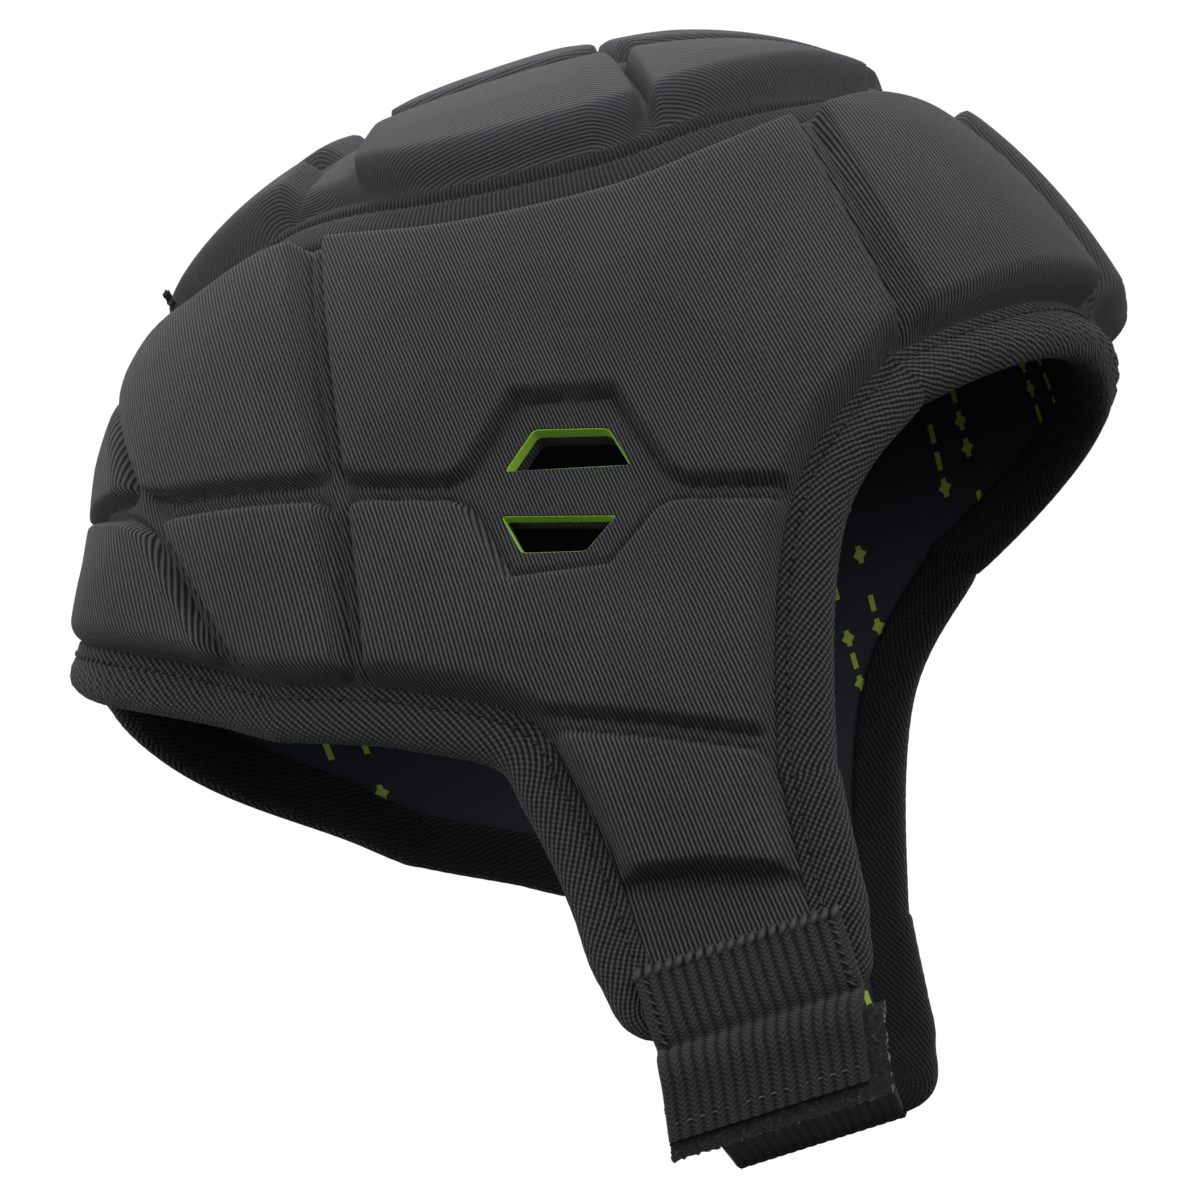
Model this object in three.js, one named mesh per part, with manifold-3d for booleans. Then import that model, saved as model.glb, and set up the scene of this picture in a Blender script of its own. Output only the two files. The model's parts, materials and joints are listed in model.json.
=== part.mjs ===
// Soft shell helmet: two padded side panels and a padded crown panel round a head form,
// with linings, bound edges, taped crown seams, side vents and a two-piece chin strap.
// Millimetres, +Z up, front towards -Y, wearer's right towards -X.
// The origin is the top of the head, inside the crown.
import * as THREE from 'three';
import Module from 'manifold-3d';

const wasm = await Module();
wasm.setup();

// Head form: an egg whose half sizes are measured from a centre below the crown
const HEAD_HALF_WIDTH = 79;
const HEAD_FRONT = 96;
const HEAD_REAR = 104;
const HEAD_UP = 117;
const HEAD_DOWN = 200;
const HEAD_ROUNDNESS = 2.44;
const HEAD_CENTRE = new THREE.Vector3(0, 0, -HEAD_UP);
// The nape stands away from the head form, by this much at the middle of the back edge
const NAPE_FLARE = 11.5;
const NAPE_BACK = { from: 0.8, to: 1 };
const NAPE_LEVEL = { from: 0.28, to: 0.6 };

// Layers, as heights above the head form
const LINING_TOP = 0.9;
const PANEL_INSIDE = 1.5;
const EDGE_TOP = 4.5;
const GROOVE_TOP = 5;
const PAD_TOP = 13;
const PUFF = 1.3;
const PUFF_REACH = 14;
const PIECE_GAP = 0.3;
const SEAM_GAP = 0.6;

// Relief of the pads: flat ledge and rounded shoulder beside each edge or groove
const EDGE_LEDGE = 10;
const BRIM_LEDGE = 9;
const SEAM_LEDGE = 11;
// At the back the pads come closer to the crown seam, between these places of the pattern
const SEAM_LEDGE_BACK = 5;
const SEAM_BACK = { from: -80, to: -98 };
const CROWN_LEDGE = 5;
const FOREHEAD_LEDGE = 2.6;
const SHOULDER = 6;
const GROOVE_HALF = 1.6;
const VENT_SHOULDER = 4;

// Edge binding: a tape folded over the bound edge
const BINDING_WIDTH = 6.6;
const BINDING_THICK = 1.2;
const BINDING_CLEAR = 0.9;
const BINDING_CLEAR_INSIDE = 1.3;
const BINDING_NOSE = 1.6;
const LEAST_MITRE = 0.5;

// Crown seam tape: a ribbed strip with a crease along its middle, narrow beside the forehead
const TAPE_OVER_PANEL = 8.6;
const TAPE_OVER_CROWN = 4.2;
const TAPE_OVER_FOREHEAD = 2;
const TAPE_THICK = 1.1;
const TAPE_CLEAR = 0.7;
const TAPE_RIDGE = 0.8;
const TAPE_CREASE = 0.3;
const TAPE_NARROWS = 26;
const TAPE_ROWS = [-40.8, -38, -33, -27.5, -22, -16.5, -10, -3, 4, 11, 17, 22, 26, 30, 33.5, 36.5, 39.5, 44];

// Chin strap webbing
const STRAP_WIDTH = 38;
const STRAP_THICK = 2.2;
const STRAP_MIDDLE = 1.5;
// Below this level the webbing drifts back by a share of its fall
const STRAP_FALL = -200;
const STRAP_DRIFT = 0.2;

// The side panel's flat pattern: p forward and q up from the ear, in mm
const PATTERN_RADIUS = 90;

// Crown seam: degrees along the crown from the top, front positive, and degrees across from the middle
const CROWN_SEAM = [
  { along: -43.5, across: 0.4 },
  { along: -42.5, across: 7 },
  { along: -40, across: 12 },
  { along: -32, across: 18.8 },
  { along: -25, across: 23 },
  { along: -19, across: 28 },
  { along: -12, across: 32.5 },
  { along: -3, across: 35 },
  { along: 8, across: 35.6 },
  { along: 16, across: 34 },
  { along: 24, across: 29.6 },
  { along: 30, across: 24.5 },
  { along: 35, across: 17.5 },
  { along: 40, across: 12.4 },
  { along: 46, across: 11 },
  { along: 56, across: 10.1 },
  { along: 64, across: 8.8 },
  { along: 70.4, across: 8.3 },
];

// Pattern lines of a side panel from the back to the forehead: lower end in the pattern,
// upper end on the crown seam, and cells up to the next line
const PANEL_LINES = [
  { name: 'centre_back', p: -131.5, q: 46.5, seam: -43.4, cells: 1 },
  { name: 'back_ledge', p: -120.5, q: 36, seam: -42.8, cells: 3 },
  { name: 'nape', p: -101, q: 18.7, seam: -42.7, cells: 3 },
  { name: 'rear_groove_behind', p: -79, q: 0.5, seam: -42.6, cells: 1 },
  { name: 'rear_groove_ahead', p: -73, q: -3, seam: -41.4, cells: 4 },
  { name: 'side_groove_behind', p: -58, q: -10.5, seam: -22.3, cells: 1 },
  { name: 'side_groove_ahead', p: -52, q: -14, seam: -19.3, cells: 2 },
  { name: 'flap_rear', p: -36, q: -24.5, seam: -12, cells: 8 },
  { name: 'flap_front', p: 26, q: -40, seam: 17.7, cells: 3 },
  { name: 'temple', p: 43, q: 3, seam: 22, cells: 2 },
  { name: 'front_groove_behind', p: 62, q: 22, seam: 27.6, cells: 1 },
  { name: 'front_groove_ahead', p: 69, q: 25.2, seam: 30, cells: 5 },
  { name: 'forehead', p: 121, q: 43, seam: 41, cells: 0 },
];

// Cheek flap below its root: rear and front edges in the pattern, from the root to the bottom
const FLAP_ROWS = [
  { rear_p: -32, rear_q: -35, front_p: 24.5, front_q: -46 },
  { rear_p: -29, rear_q: -45, front_p: 23, front_q: -53 },
  { rear_p: -27, rear_q: -54, front_p: 21.5, front_q: -60 },
  { rear_p: -25, rear_q: -64, front_p: 19.5, front_q: -67 },
  { rear_p: -18, rear_q: -72.5, front_p: 12.5, front_q: -74.5 },
];
const FLAP_RIM = 9;

// Grooves moulded between the pads, as lines in the pattern
const PAD_GROOVES = [
  { name: 'rear', from: [-72, -20], to: [-92, 110], half: GROOVE_HALF },
  { name: 'side', from: [-56, -20], to: [-34, 100], half: GROOVE_HALF },
  { name: 'front', from: [67, 15], to: [48, 95], half: GROOVE_HALF },
  { name: 'waist_rear', from: [-140, 58], to: [-24, 28], half: GROOVE_HALF },
  { name: 'waist_front', from: [12, 15.5], to: [45, 4.5], half: GROOVE_HALF },
  { name: 'cheek', from: [-34, -15], to: [22, -38], half: GROOVE_HALF },
];
// The waist groove's line, which one row of the panel's cells follows
const WAIST_SLOPE = -0.34;
const WAIST_LEVEL = 19.5;
const WAIST_HALF = 2.8;
const WAIST_LOWEST = 0.24;
const WAIST_HIGHEST = 0.5;
// Other rows, as shares of the way between an edge's ledge, the waist and the crown seam's ledge
const LEDGE_MOST = 1 / 3;
const SHOULDER_MOST = 1 / 2;
const LOWER_PAD_ROW = 0.55;
const UPPER_PAD_ROWS = [0.22, 0.6];
const LINING_ROWS = [0, 2, 5, 6, 8, 10];
const BACK_LEDGE_END = 0.8;

// Flat fields: the vent's six-sided recess, and the seat of the strap on the flap
const VENT_FIELD = [[-27, 29], [-11.5, 42], [7, 37.5], [14, 16.5], [-3.5, 5], [-23, 9]];
const STRAP_SEAT = [[-40, -44], [-17, -47], [-3, -49.5], [13, -54], [40, -58], [40, -90], [-40, -90]];
// Through vents in the pattern, above and below the cross bar
const VENTS = [
  { name: 'upper', corners: [[-18.3, 29.8], [-10.2, 36.3], [4.3, 32], [6.6, 23.2]] },
  { name: 'lower', corners: [[-21.5, 21.6], [1, 14.3], [-7.4, 9], [-19.9, 12.8]] },
];
const VENT_LINER = 1.4;
const VENT_CORNER = 0.62;
const VENT_CUT = { bottom: -8, top: 30 };
const VENT_LINER_BOTTOM = 0.4;
const VENT_LINER_TOP = 3.9;

// Crown blocks: columns as shares of the padded half width, then the seam; rows as degrees along the crown
const CROWN_COLUMNS = [0, 0.04, 0.14, 0.25, 0.36, 0.46, 0.54, 0.64, 0.8, 1];
const AT_SEAM = 2;
const CROWN_ROWS = [-42, -39.5, -35, -30, -24.8, -22.8, -18.6, -16.6, -8, 4, 13.6, 15.4, 16.4, 18.2, 24, 31, 33,
  35, 37, 40.2, 42.1, 42.9, 44.8, 49, 56, 63, 66, 70.4];
const CROWN_LINING_COLUMNS = [0, 0.34, 0.68];
// How far the crown's rows draw together towards its middle, as degrees at the row
const CROWN_PINCH = [[-43.5, 0], [-20.7, 17], [-3, 1.5], [15.9, -12], [30, 0], [71, 0]];
const CROWN_PINCH_MOST = 0.62;
const CROWN_COLUMN_GROOVES = [0, 0.5];
const CROWN_ROW_GROOVES = [
  { at: -20.7, half: 2.1 },
  { at: 15.9, half: 0.5 },
  { at: 34, half: 1 },
  { at: 42.5, half: 0.4 },
];
const CROWN_ROW_SHOULDER = 4;
const CROWN_RADIUS = 112;
const CROWN_REAR_GAP = 0.5;
const TONGUE_START = 40;

// Strap patch sewn on a flap: rows at a level z, at a height above the head form
const STRAP_PATCH = [
  { z: -185.5, height: 7 },
  { z: -188.5, height: 7.2 },
  { z: -194.5, height: 7.6 },
  { z: -200, height: 7.2 },
];
// Free webbing, as x and z of its inner face: the right end hangs outside, the left piece runs under the chin
const STRAP_RIGHT_RUN = [[-82.6, -207], [-81.2, -213.5], [-79, -219.5]];
const STRAP_LEFT_RUN = [[82, -204.2], [77, -205.4], [60, -205.6], [30, -206], [0, -207.6], [-30, -210.6],
  [-55, -214.4], [-66, -216.6], [-72.5, -215.4], [-76, -211], [-77.6, -205.4]];
const STRAP_COLUMNS = 5;

// Colours from the photograph
const KNIT = { color: 0x3c3c3f, roughness: 0.9 };
const LINING = { color: 0x0f1218, roughness: 0.85 };
const BINDING = { color: 0x3a3a3b, roughness: 0.85 };
const FOAM = { color: 0x7fb32f, roughness: 0.8 };
const WEBBING = { color: 0x2c2c2d, roughness: 0.8 };

const radians = THREE.MathUtils.degToRad;
const smoothstep = THREE.MathUtils.smoothstep;
const lerp = THREE.MathUtils.lerp;

// Point at a height above the head form, in a direction from its centre
function headPoint(direction, height) {
  const sizes = [
    HEAD_HALF_WIDTH,
    direction.y < 0 ? HEAD_FRONT : HEAD_REAR,
    direction.z > 0 ? HEAD_UP : HEAD_DOWN,
  ];
  const parts = direction.toArray();
  const sum = parts.reduce((total, part, i) => total + Math.abs(part / sizes[i]) ** HEAD_ROUNDNESS, 0);
  const point = direction.clone().multiplyScalar(sum ** (-1 / HEAD_ROUNDNESS));
  const slopes = point.toArray().map((part, i) =>
    Math.sign(part) * Math.abs(part / sizes[i]) ** (HEAD_ROUNDNESS - 1) / sizes[i]);
  const normal = new THREE.Vector3(...slopes).normalize();
  return point.addScaledVector(normal, height + napeFlare(direction)).add(HEAD_CENTRE);
}

// How far the nape stands away from the head form in a direction
function napeFlare(direction) {
  const share = direction.y / Math.max(Math.hypot(direction.x, direction.y), 1e-9);
  const back = smoothstep(share, NAPE_BACK.from, NAPE_BACK.to);
  const level = smoothstep(direction.z, NAPE_LEVEL.from, NAPE_LEVEL.to);
  return NAPE_FLARE * back * (1 - level);
}

// Direction of a point of the right side panel's flat pattern
function patternDirection(p, q) {
  const reach = Math.hypot(p, q);
  const turn = reach / PATTERN_RADIUS;
  const share = reach > 0 ? Math.sin(turn) / reach : 0;
  return new THREE.Vector3(-Math.cos(turn), -share * p, share * q);
}

// Direction of a point of the crown, in degrees along and across it; across is negative on the right
function crownDirection(along, across) {
  const a = radians(along);
  const c = radians(across);
  return new THREE.Vector3(Math.sin(c), -Math.cos(c) * Math.sin(a), Math.cos(c) * Math.cos(a));
}

// Half width of the crown, in degrees, at a place along it
function seamAcross(along) {
  const next = CROWN_SEAM.findIndex((row) => row.along >= along);
  if (next <= 0) return CROWN_SEAM[Math.max(next, 0)].across;
  const before = CROWN_SEAM[next - 1];
  const after = CROWN_SEAM[next];
  const share = (along - before.along) / (after.along - before.along);
  return lerp(before.across, after.across, share);
}

// The crown seam as a point of the side panel's pattern, short of it by a gap in mm
function seamInPattern(along, gap) {
  const reach = PATTERN_RADIUS * radians(90 - seamAcross(along)) - gap;
  return new THREE.Vector2(reach * Math.sin(radians(along)), reach * Math.cos(radians(along)));
}

function distanceToLine(point, from, to) {
  const run = new THREE.Vector2().subVectors(to, from);
  const share = THREE.MathUtils.clamp(point.clone().sub(from).dot(run) / Math.max(run.lengthSq(), 1e-9), 0, 1);
  return point.distanceTo(from.clone().addScaledVector(run, share));
}

// Distance to the edge of a field of corners, negative inside it
function distanceToField(point, corners) {
  let nearest = Infinity;
  let inside = false;
  corners.forEach((corner, i) => {
    const from = new THREE.Vector2(...corner);
    const to = new THREE.Vector2(...corners[(i + 1) % corners.length]);
    nearest = Math.min(nearest, distanceToLine(point, from, to));
    const crosses = (from.y > point.y) !== (to.y > point.y);
    if (crosses && point.x < from.x + (point.y - from.y) * (to.x - from.x) / (to.y - from.y)) inside = !inside;
  });
  return inside ? -nearest : nearest;
}

// Height of a pad from how far a point stands clear of each ledge, groove and field
function padHeight(clearances) {
  const rise = clearances.reduce((share, { distance, flat, shoulder, floor }) =>
    share * lerp(floor ?? 0, 1, smoothstep(distance, flat, flat + shoulder)), 1);
  const nearest = Math.min(...clearances.map(({ distance, flat }) => Math.max(distance - flat, 0)));
  return lerp(EDGE_TOP, PAD_TOP, rise) + PUFF * rise * (1 - Math.exp(-nearest / PUFF_REACH));
}

const GROOVE_FLOOR = (GROOVE_TOP - EDGE_TOP) / (PAD_TOP - EDGE_TOP);

// Closed solid from vertices and faces of three or four corners, turned to face outwards
function closedSolid(vertices, faces) {
  const triangles = faces.flatMap((face) =>
    face.length === 3 ? [face] : [[face[0], face[1], face[2]], [face[0], face[2], face[3]]]);
  const volume = triangles.reduce((sum, [a, b, c]) =>
    sum + vertices[a].dot(new THREE.Vector3().crossVectors(vertices[b], vertices[c])), 0);
  const outward = volume > 0 ? triangles : triangles.map(([a, b, c]) => [a, c, b]);
  const geometry = new THREE.BufferGeometry();
  geometry.setAttribute('position', new THREE.Float32BufferAttribute(vertices.flatMap((v) => v.toArray()), 3));
  geometry.setIndex(outward.flat());
  return geometry;
}

// Slab between an outer and an inner sheet that share four-cornered cells
function slab(outer, inner, cells) {
  const count = outer.length;
  const faces = [];
  const edges = new Map();
  for (const cell of cells) {
    faces.push(cell, cell.map((i) => i + count).reverse());
    cell.forEach((a, k) => edges.set(`${a},${cell[(k + 1) % 4]}`, [a, cell[(k + 1) % 4]]));
  }
  for (const [a, b] of edges.values()) {
    if (!edges.has(`${b},${a}`)) faces.push([b, a, a + count, b + count]);
  }
  return closedSolid([...outer, ...inner], faces);
}

// Solid swept through rings of equal size: joined into a loop, or closed by ends of the contour's shape
function sweep(rings, contour = null) {
  const size = rings[0].length;
  const spans = contour ? rings.length - 1 : rings.length;
  const faces = [];
  for (let i = 0; i < spans; i += 1) {
    const next = ((i + 1) % rings.length) * size;
    for (let k = 0; k < size; k += 1) {
      const after = (k + 1) % size;
      faces.push([i * size + k, i * size + after, next + after, next + k]);
    }
  }
  if (contour) {
    const last = (rings.length - 1) * size;
    for (const end of THREE.ShapeUtils.triangulateShape(contour.map((c) => new THREE.Vector2(...c)), [])) {
      const first = windsLikeContour(end, contour) ? [...end].reverse() : end;
      faces.push(first, [...first].reverse().map((k) => k + last));
    }
  }
  return closedSolid(rings.flat(), faces);
}

// Whether a triangle of contour corners turns the same way as the contour's own order
function windsLikeContour(triangle, contour) {
  const area = (corners) => THREE.ShapeUtils.area(corners.map((c) => new THREE.Vector2(...c)));
  return area(triangle.map((k) => contour[k])) * area(contour) > 0;
}

function mirrored(geometry) {
  const copy = geometry.clone();
  copy.scale(-1, 1, 1);
  const index = copy.index.array;
  for (let i = 0; i < index.length; i += 3) {
    [index[i + 1], index[i + 2]] = [index[i + 2], index[i + 1]];
  }
  return copy;
}

function toManifold(geometry) {
  return new wasm.Manifold(new wasm.Mesh({
    numProp: 3,
    vertProperties: new Float32Array(geometry.attributes.position.array),
    triVerts: new Uint32Array(geometry.index.array),
  }));
}

function fromManifold(solid) {
  const mesh = solid.getMesh();
  const geometry = new THREE.BufferGeometry();
  geometry.setAttribute('position', new THREE.Float32BufferAttribute(mesh.vertProperties, 3));
  geometry.setIndex([...mesh.triVerts]);
  return geometry;
}

function cut(geometry, cutters) {
  return fromManifold(cutters.reduce((solid, cutter) => solid.subtract(toManifold(cutter)), toManifold(geometry)));
}

// Columns of a side panel: pattern points of the lower and upper end of each
function panelColumns() {
  const lows = PANEL_LINES.map(({ p, q }) => new THREE.Vector2(p, q));
  const rear = PANEL_LINES.findIndex(({ name }) => name === 'flap_rear');
  const { rear_p, rear_q, front_p, front_q } = FLAP_ROWS[0];
  const neck = new THREE.SplineCurve([...lows.slice(0, rear + 1), new THREE.Vector2(rear_p, rear_q)]);
  const face = new THREE.SplineCurve([new THREE.Vector2(front_p, front_q), ...lows.slice(rear + 1)]);
  const lowAt = (i, share) => {
    if (i === rear) return lows[rear].clone().lerp(lows[rear + 1], share);
    const [edge, place] = i < rear ? [neck, i + share] : [face, i - rear + share];
    return edge.getPoint(place / (edge.points.length - 1));
  };
  const columns = [];
  PANEL_LINES.forEach((line, i) => {
    const next = PANEL_LINES[i + 1];
    for (let k = 0; k < Math.max(line.cells, 1); k += 1) {
      const share = line.cells ? k / line.cells : 0;
      const low = lowAt(i, share);
      const along = next ? lerp(line.seam, next.seam, share) : line.seam;
      columns.push({ line: line.name, share, low, top: seamInPattern(along, SEAM_GAP) });
    }
  });
  return columns;
}

// Shares of the way up a column at which the panel's rows cross it
function rowShares({ low, top }) {
  const length = low.distanceTo(top);
  const offWaist = ({ x, y }) => y - WAIST_SLOPE * x - WAIST_LEVEL;
  const crossing = offWaist(low) / (offWaist(low) - offWaist(top));
  const waist = THREE.MathUtils.clamp(crossing, WAIST_LOWEST, WAIST_HIGHEST);
  const half = WAIST_HALF / length;
  const ledge = Math.min(EDGE_LEDGE / length, waist * LEDGE_MOST);
  const shoulder = Math.min((EDGE_LEDGE + SHOULDER) / length, waist * SHOULDER_MOST);
  const padEnd = 1 - (SEAM_LEDGE + SHOULDER) / length;
  const valley = 1 - SEAM_LEDGE / length;
  const upper = waist + half;
  return [0, ledge, shoulder, lerp(shoulder, waist - half, LOWER_PAD_ROW), waist - half, upper,
    ...UPPER_PAD_ROWS.map((share) => lerp(upper, padEnd, share)), padEnd, valley, 1];
}

const FOREHEAD_ALONG = PANEL_LINES.at(-1).seam;
const FOREHEAD_CELLS = PANEL_LINES.at(-2).cells;
const BRIM_ALONG = CROWN_SEAM.at(-1).along;
const BACK_REACH = PATTERN_RADIUS * Math.PI / 2 - BINDING_NOSE - PIECE_GAP;

// The side panel's cells: body columns by rows, and flap rows below the flap's columns
function panelLayout() {
  const columns = panelColumns();
  const first = columns.findIndex(({ line }) => line === 'flap_rear');
  const last = columns.findIndex(({ line }) => line === 'flap_front');
  const body = columns.map((column, i) => rowShares(column).map((share) => {
    const point = column.low.clone().lerp(column.top, share);
    if (i === 0) point.setLength(BACK_REACH);
    if (i === 1) point.setLength(lerp(BACK_REACH - EDGE_LEDGE, column.top.length(), smoothstep(share, BACK_LEDGE_END, 1)));
    const fromForehead = columns.length - 1 - i;
    if (fromForehead < FOREHEAD_CELLS) {
      const along = lerp(BRIM_ALONG, FOREHEAD_ALONG, share);
      const bulge = seamInPattern(along, SEAM_GAP).sub(columns.at(-1).low.clone().lerp(columns.at(-1).top, share));
      point.addScaledVector(bulge, 1 - fromForehead / FOREHEAD_CELLS);
    }
    return point;
  }));
  const flap = FLAP_ROWS.map((row) => {
    const rear = new THREE.Vector2(row.rear_p, row.rear_q);
    const front = new THREE.Vector2(row.front_p, row.front_q);
    const rim = FLAP_RIM / rear.distanceTo(front);
    return Array.from({ length: last - first + 1 }, (_, k) => {
      const inner = lerp(rim, 1 - rim, (k - 1) / (last - first - 2));
      const share = k === 0 ? 0 : k === last - first ? 1 : inner;
      return rear.clone().lerp(front, share);
    });
  });
  return { body, flap, first, last };
}

// Numbered points and four-cornered cells of the layout, keeping only some of the body's rows
function panelCells({ body, flap, first, last }, keepRow) {
  const points = [];
  const number = (point) => points.push(point) - 1;
  const columns = body.map((column) => column.filter((_, j) => keepRow(j)).map(number));
  const flapRows = flap.map((row) => row.map(number));
  const cells = [];
  for (let i = 0; i + 1 < columns.length; i += 1) {
    for (let j = 0; j + 1 < columns[i].length; j += 1) {
      cells.push([columns[i][j], columns[i + 1][j], columns[i + 1][j + 1], columns[i][j + 1]]);
    }
  }
  const root = columns.slice(first, last + 1).map((column) => column[0]);
  [root, ...flapRows].forEach((above, j, rows) => {
    const below = rows[j + 1];
    for (let k = 0; below && k + 1 < above.length; k += 1) {
      cells.push([below[k], below[k + 1], above[k + 1], above[k]]);
    }
  });
  return { points, cells };
}

// Bound outline of the right half in the pattern: down the back, round the flap and up to the forehead
function boundOutline({ body, flap, first, last }) {
  return [
    ...body[0].slice(1).reverse(),
    ...body.slice(0, first + 1).map((column) => column[0]),
    ...flap.map((row) => row[0]),
    ...flap.at(-1).slice(2, -2),
    ...[...flap].reverse().map((row) => row.at(-1)),
    ...body.slice(last).map((column) => column[0]),
  ];
}

const layout = panelLayout();
const outline = boundOutline(layout);
const crownSide = layout.body.map((column) => column.at(-1));
const foreheadSide = layout.body.at(-1);

function distanceToPath(point, path) {
  return path.slice(1).reduce((near, to, i) => Math.min(near, distanceToLine(point, path[i], to)), Infinity);
}

function panelHeight(point) {
  const back = smoothstep(-point.x, -SEAM_BACK.from, -SEAM_BACK.to);
  const grooves = PAD_GROOVES.map(({ from, to, half }) => ({
    distance: distanceToLine(point, new THREE.Vector2(...from), new THREE.Vector2(...to)),
    flat: half,
    shoulder: SHOULDER,
    floor: GROOVE_FLOOR,
  }));
  return padHeight([
    { distance: distanceToPath(point, outline), flat: EDGE_LEDGE, shoulder: SHOULDER },
    { distance: distanceToPath(point, crownSide), flat: lerp(SEAM_LEDGE, SEAM_LEDGE_BACK, back), shoulder: SHOULDER },
    { distance: distanceToPath(point, foreheadSide), flat: FOREHEAD_LEDGE, shoulder: SHOULDER },
    { distance: distanceToField(point, VENT_FIELD), flat: 0, shoulder: VENT_SHOULDER },
    { distance: distanceToField(point, STRAP_SEAT), flat: 0, shoulder: SHOULDER },
    ...grooves,
  ]);
}

const onHead = (points, height) => points.map((point) =>
  headPoint(patternDirection(point.x, point.y), typeof height === 'function' ? height(point) : height));

// Prism that follows a vent's corners, drawn in by a margin, between two heights
function ventPrism(corners, margin, bottom, top) {
  const middle = corners.reduce((sum, c) => sum.add(new THREE.Vector2(...c)), new THREE.Vector2());
  middle.divideScalar(corners.length);
  const drawn = corners.map((corner) => {
    const arm = new THREE.Vector2(...corner).sub(middle);
    return middle.clone().addScaledVector(arm, 1 - margin / (arm.length() * VENT_CORNER));
  });
  return { low: onHead(drawn, bottom), high: onHead(drawn, top) };
}

const ventCutters = VENTS.map(({ corners }) => {
  const { low, high } = ventPrism(corners, 0, VENT_CUT.bottom, VENT_CUT.top);
  return sweep([low, high], corners);
});

function sidePanel() {
  const { points, cells } = panelCells(layout, () => true);
  return cut(slab(onHead(points, panelHeight), onHead(points, PANEL_INSIDE), cells), ventCutters);
}

function sideLining() {
  const { points, cells } = panelCells(layout, (j) => LINING_ROWS.includes(j));
  return cut(slab(onHead(points, LINING_TOP), onHead(points, 0), cells), ventCutters);
}

// Foam liner round the inside of one vent
function ventLiner({ corners }) {
  const outside = ventPrism(corners, PIECE_GAP, VENT_LINER_BOTTOM, VENT_LINER_TOP);
  const inside = ventPrism(corners, PIECE_GAP + VENT_LINER, VENT_LINER_BOTTOM, VENT_LINER_TOP);
  const rings = corners.map((_, i) => [outside.low[i], outside.high[i], inside.high[i], inside.low[i]]);
  return sweep(rings);
}

const CROWN_MM = CROWN_RADIUS * Math.PI / 180;
const crownLedge = (along) => (along > TONGUE_START ? FOREHEAD_LEDGE : CROWN_LEDGE);

// Degrees along the crown at a row and a column
function crownAlong(row, column) {
  const next = CROWN_PINCH.findIndex(([at]) => at >= row);
  const [before, after] = [CROWN_PINCH[next - 1], CROWN_PINCH[next]];
  const pinch = lerp(before[1], after[1], (row - before[0]) / (after[0] - before[0]));
  return row + pinch * THREE.MathUtils.clamp(1 - Math.abs(column), 0, CROWN_PINCH_MOST);
}

// Degrees across to a column of the crown: a share of its padded half width, or its edge at the seam
function crownAcross(along, column) {
  const seam = seamAcross(along < 0 ? along - CROWN_REAR_GAP : along);
  const edge = seam - SEAM_GAP / CROWN_MM;
  const padded = seam - crownLedge(along) / CROWN_MM;
  return Math.sign(column) * (Math.abs(column) >= AT_SEAM ? edge : Math.abs(column) * padded);
}

function crownHeight(row, column) {
  const along = crownAlong(row, column);
  const half = seamAcross(along) * CROWN_MM - crownLedge(along);
  const flat = new THREE.Vector2(Math.abs(crownAcross(along, column)), along).multiplyScalar(CROWN_MM);
  const seam = CROWN_SEAM.map((row) => new THREE.Vector2(row.across, row.along).multiplyScalar(CROWN_MM));
  const columns = along > TONGUE_START ? [] : CROWN_COLUMN_GROOVES.map((at) => ({
    distance: Math.abs(flat.x - at * half), flat: GROOVE_HALF, shoulder: SHOULDER, floor: GROOVE_FLOOR,
  }));
  const rows = CROWN_ROW_GROOVES.map(({ at, half: width }) => ({
    distance: Math.abs(row - at) * CROWN_MM, flat: width * CROWN_MM, shoulder: CROWN_ROW_SHOULDER, floor: GROOVE_FLOOR,
  }));
  return padHeight([
    { distance: distanceToPath(flat, seam), flat: crownLedge(along), shoulder: SHOULDER },
    { distance: (BRIM_ALONG - along) * CROWN_MM, flat: BRIM_LEDGE, shoulder: SHOULDER },
    ...columns,
    ...rows,
  ]);
}

const bothWays = (columns) => [...columns.slice(1).reverse().map((column) => -column), ...columns];

function crownSlab(rows, half, top, bottom) {
  const columns = bothWays([...half, AT_SEAM]);
  const sheet = (height) => rows.flatMap((row) => columns.map((column) => {
    const along = crownAlong(row, column);
    return headPoint(crownDirection(along, crownAcross(along, column)), height(row, column));
  }));
  const cells = [];
  for (let i = 0; i + 1 < rows.length; i += 1) {
    for (let k = 0; k + 1 < columns.length; k += 1) {
      const a = i * columns.length + k;
      cells.push([a, a + 1, a + 1 + columns.length, a + columns.length]);
    }
  }
  return slab(sheet(top), sheet(bottom), cells);
}

function crownPanel() {
  return crownSlab(CROWN_ROWS, CROWN_COLUMNS, crownHeight, () => PANEL_INSIDE);
}

function crownLining() {
  const rows = CROWN_ROWS.filter((_, i) => i % 2 === 0);
  return crownSlab(rows, CROWN_LINING_COLUMNS, () => LINING_TOP, () => 0);
}

// Points on the head form either side of a path, in mm to its inner side, at given heights
function profileRings(path, profile) {
  const points = path.map((direction) => headPoint(direction, 0));
  return points.map((point, i) => {
    const before = points[Math.max(i - 1, 0)];
    const after = points[Math.min(i + 1, points.length - 1)];
    const normal = headPoint(path[i], 1).sub(point);
    const sideOf = (from, to) => normal.clone().cross(new THREE.Vector3().subVectors(to, from)).normalize();
    const sides = [];
    if (i > 0) sides.push(sideOf(before, point));
    if (i + 1 < points.length) sides.push(sideOf(point, after));
    const inward = sides.reduce((sum, side) => sum.add(side), new THREE.Vector3()).normalize();
    const stretch = 1 / Math.max(inward.dot(sides[0]), LEAST_MITRE);
    return profile(i).map(([width, height]) => {
      const place = point.clone().addScaledVector(inward, width * stretch).sub(HEAD_CENTRE);
      return headPoint(place.normalize(), height);
    });
  });
}

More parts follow.
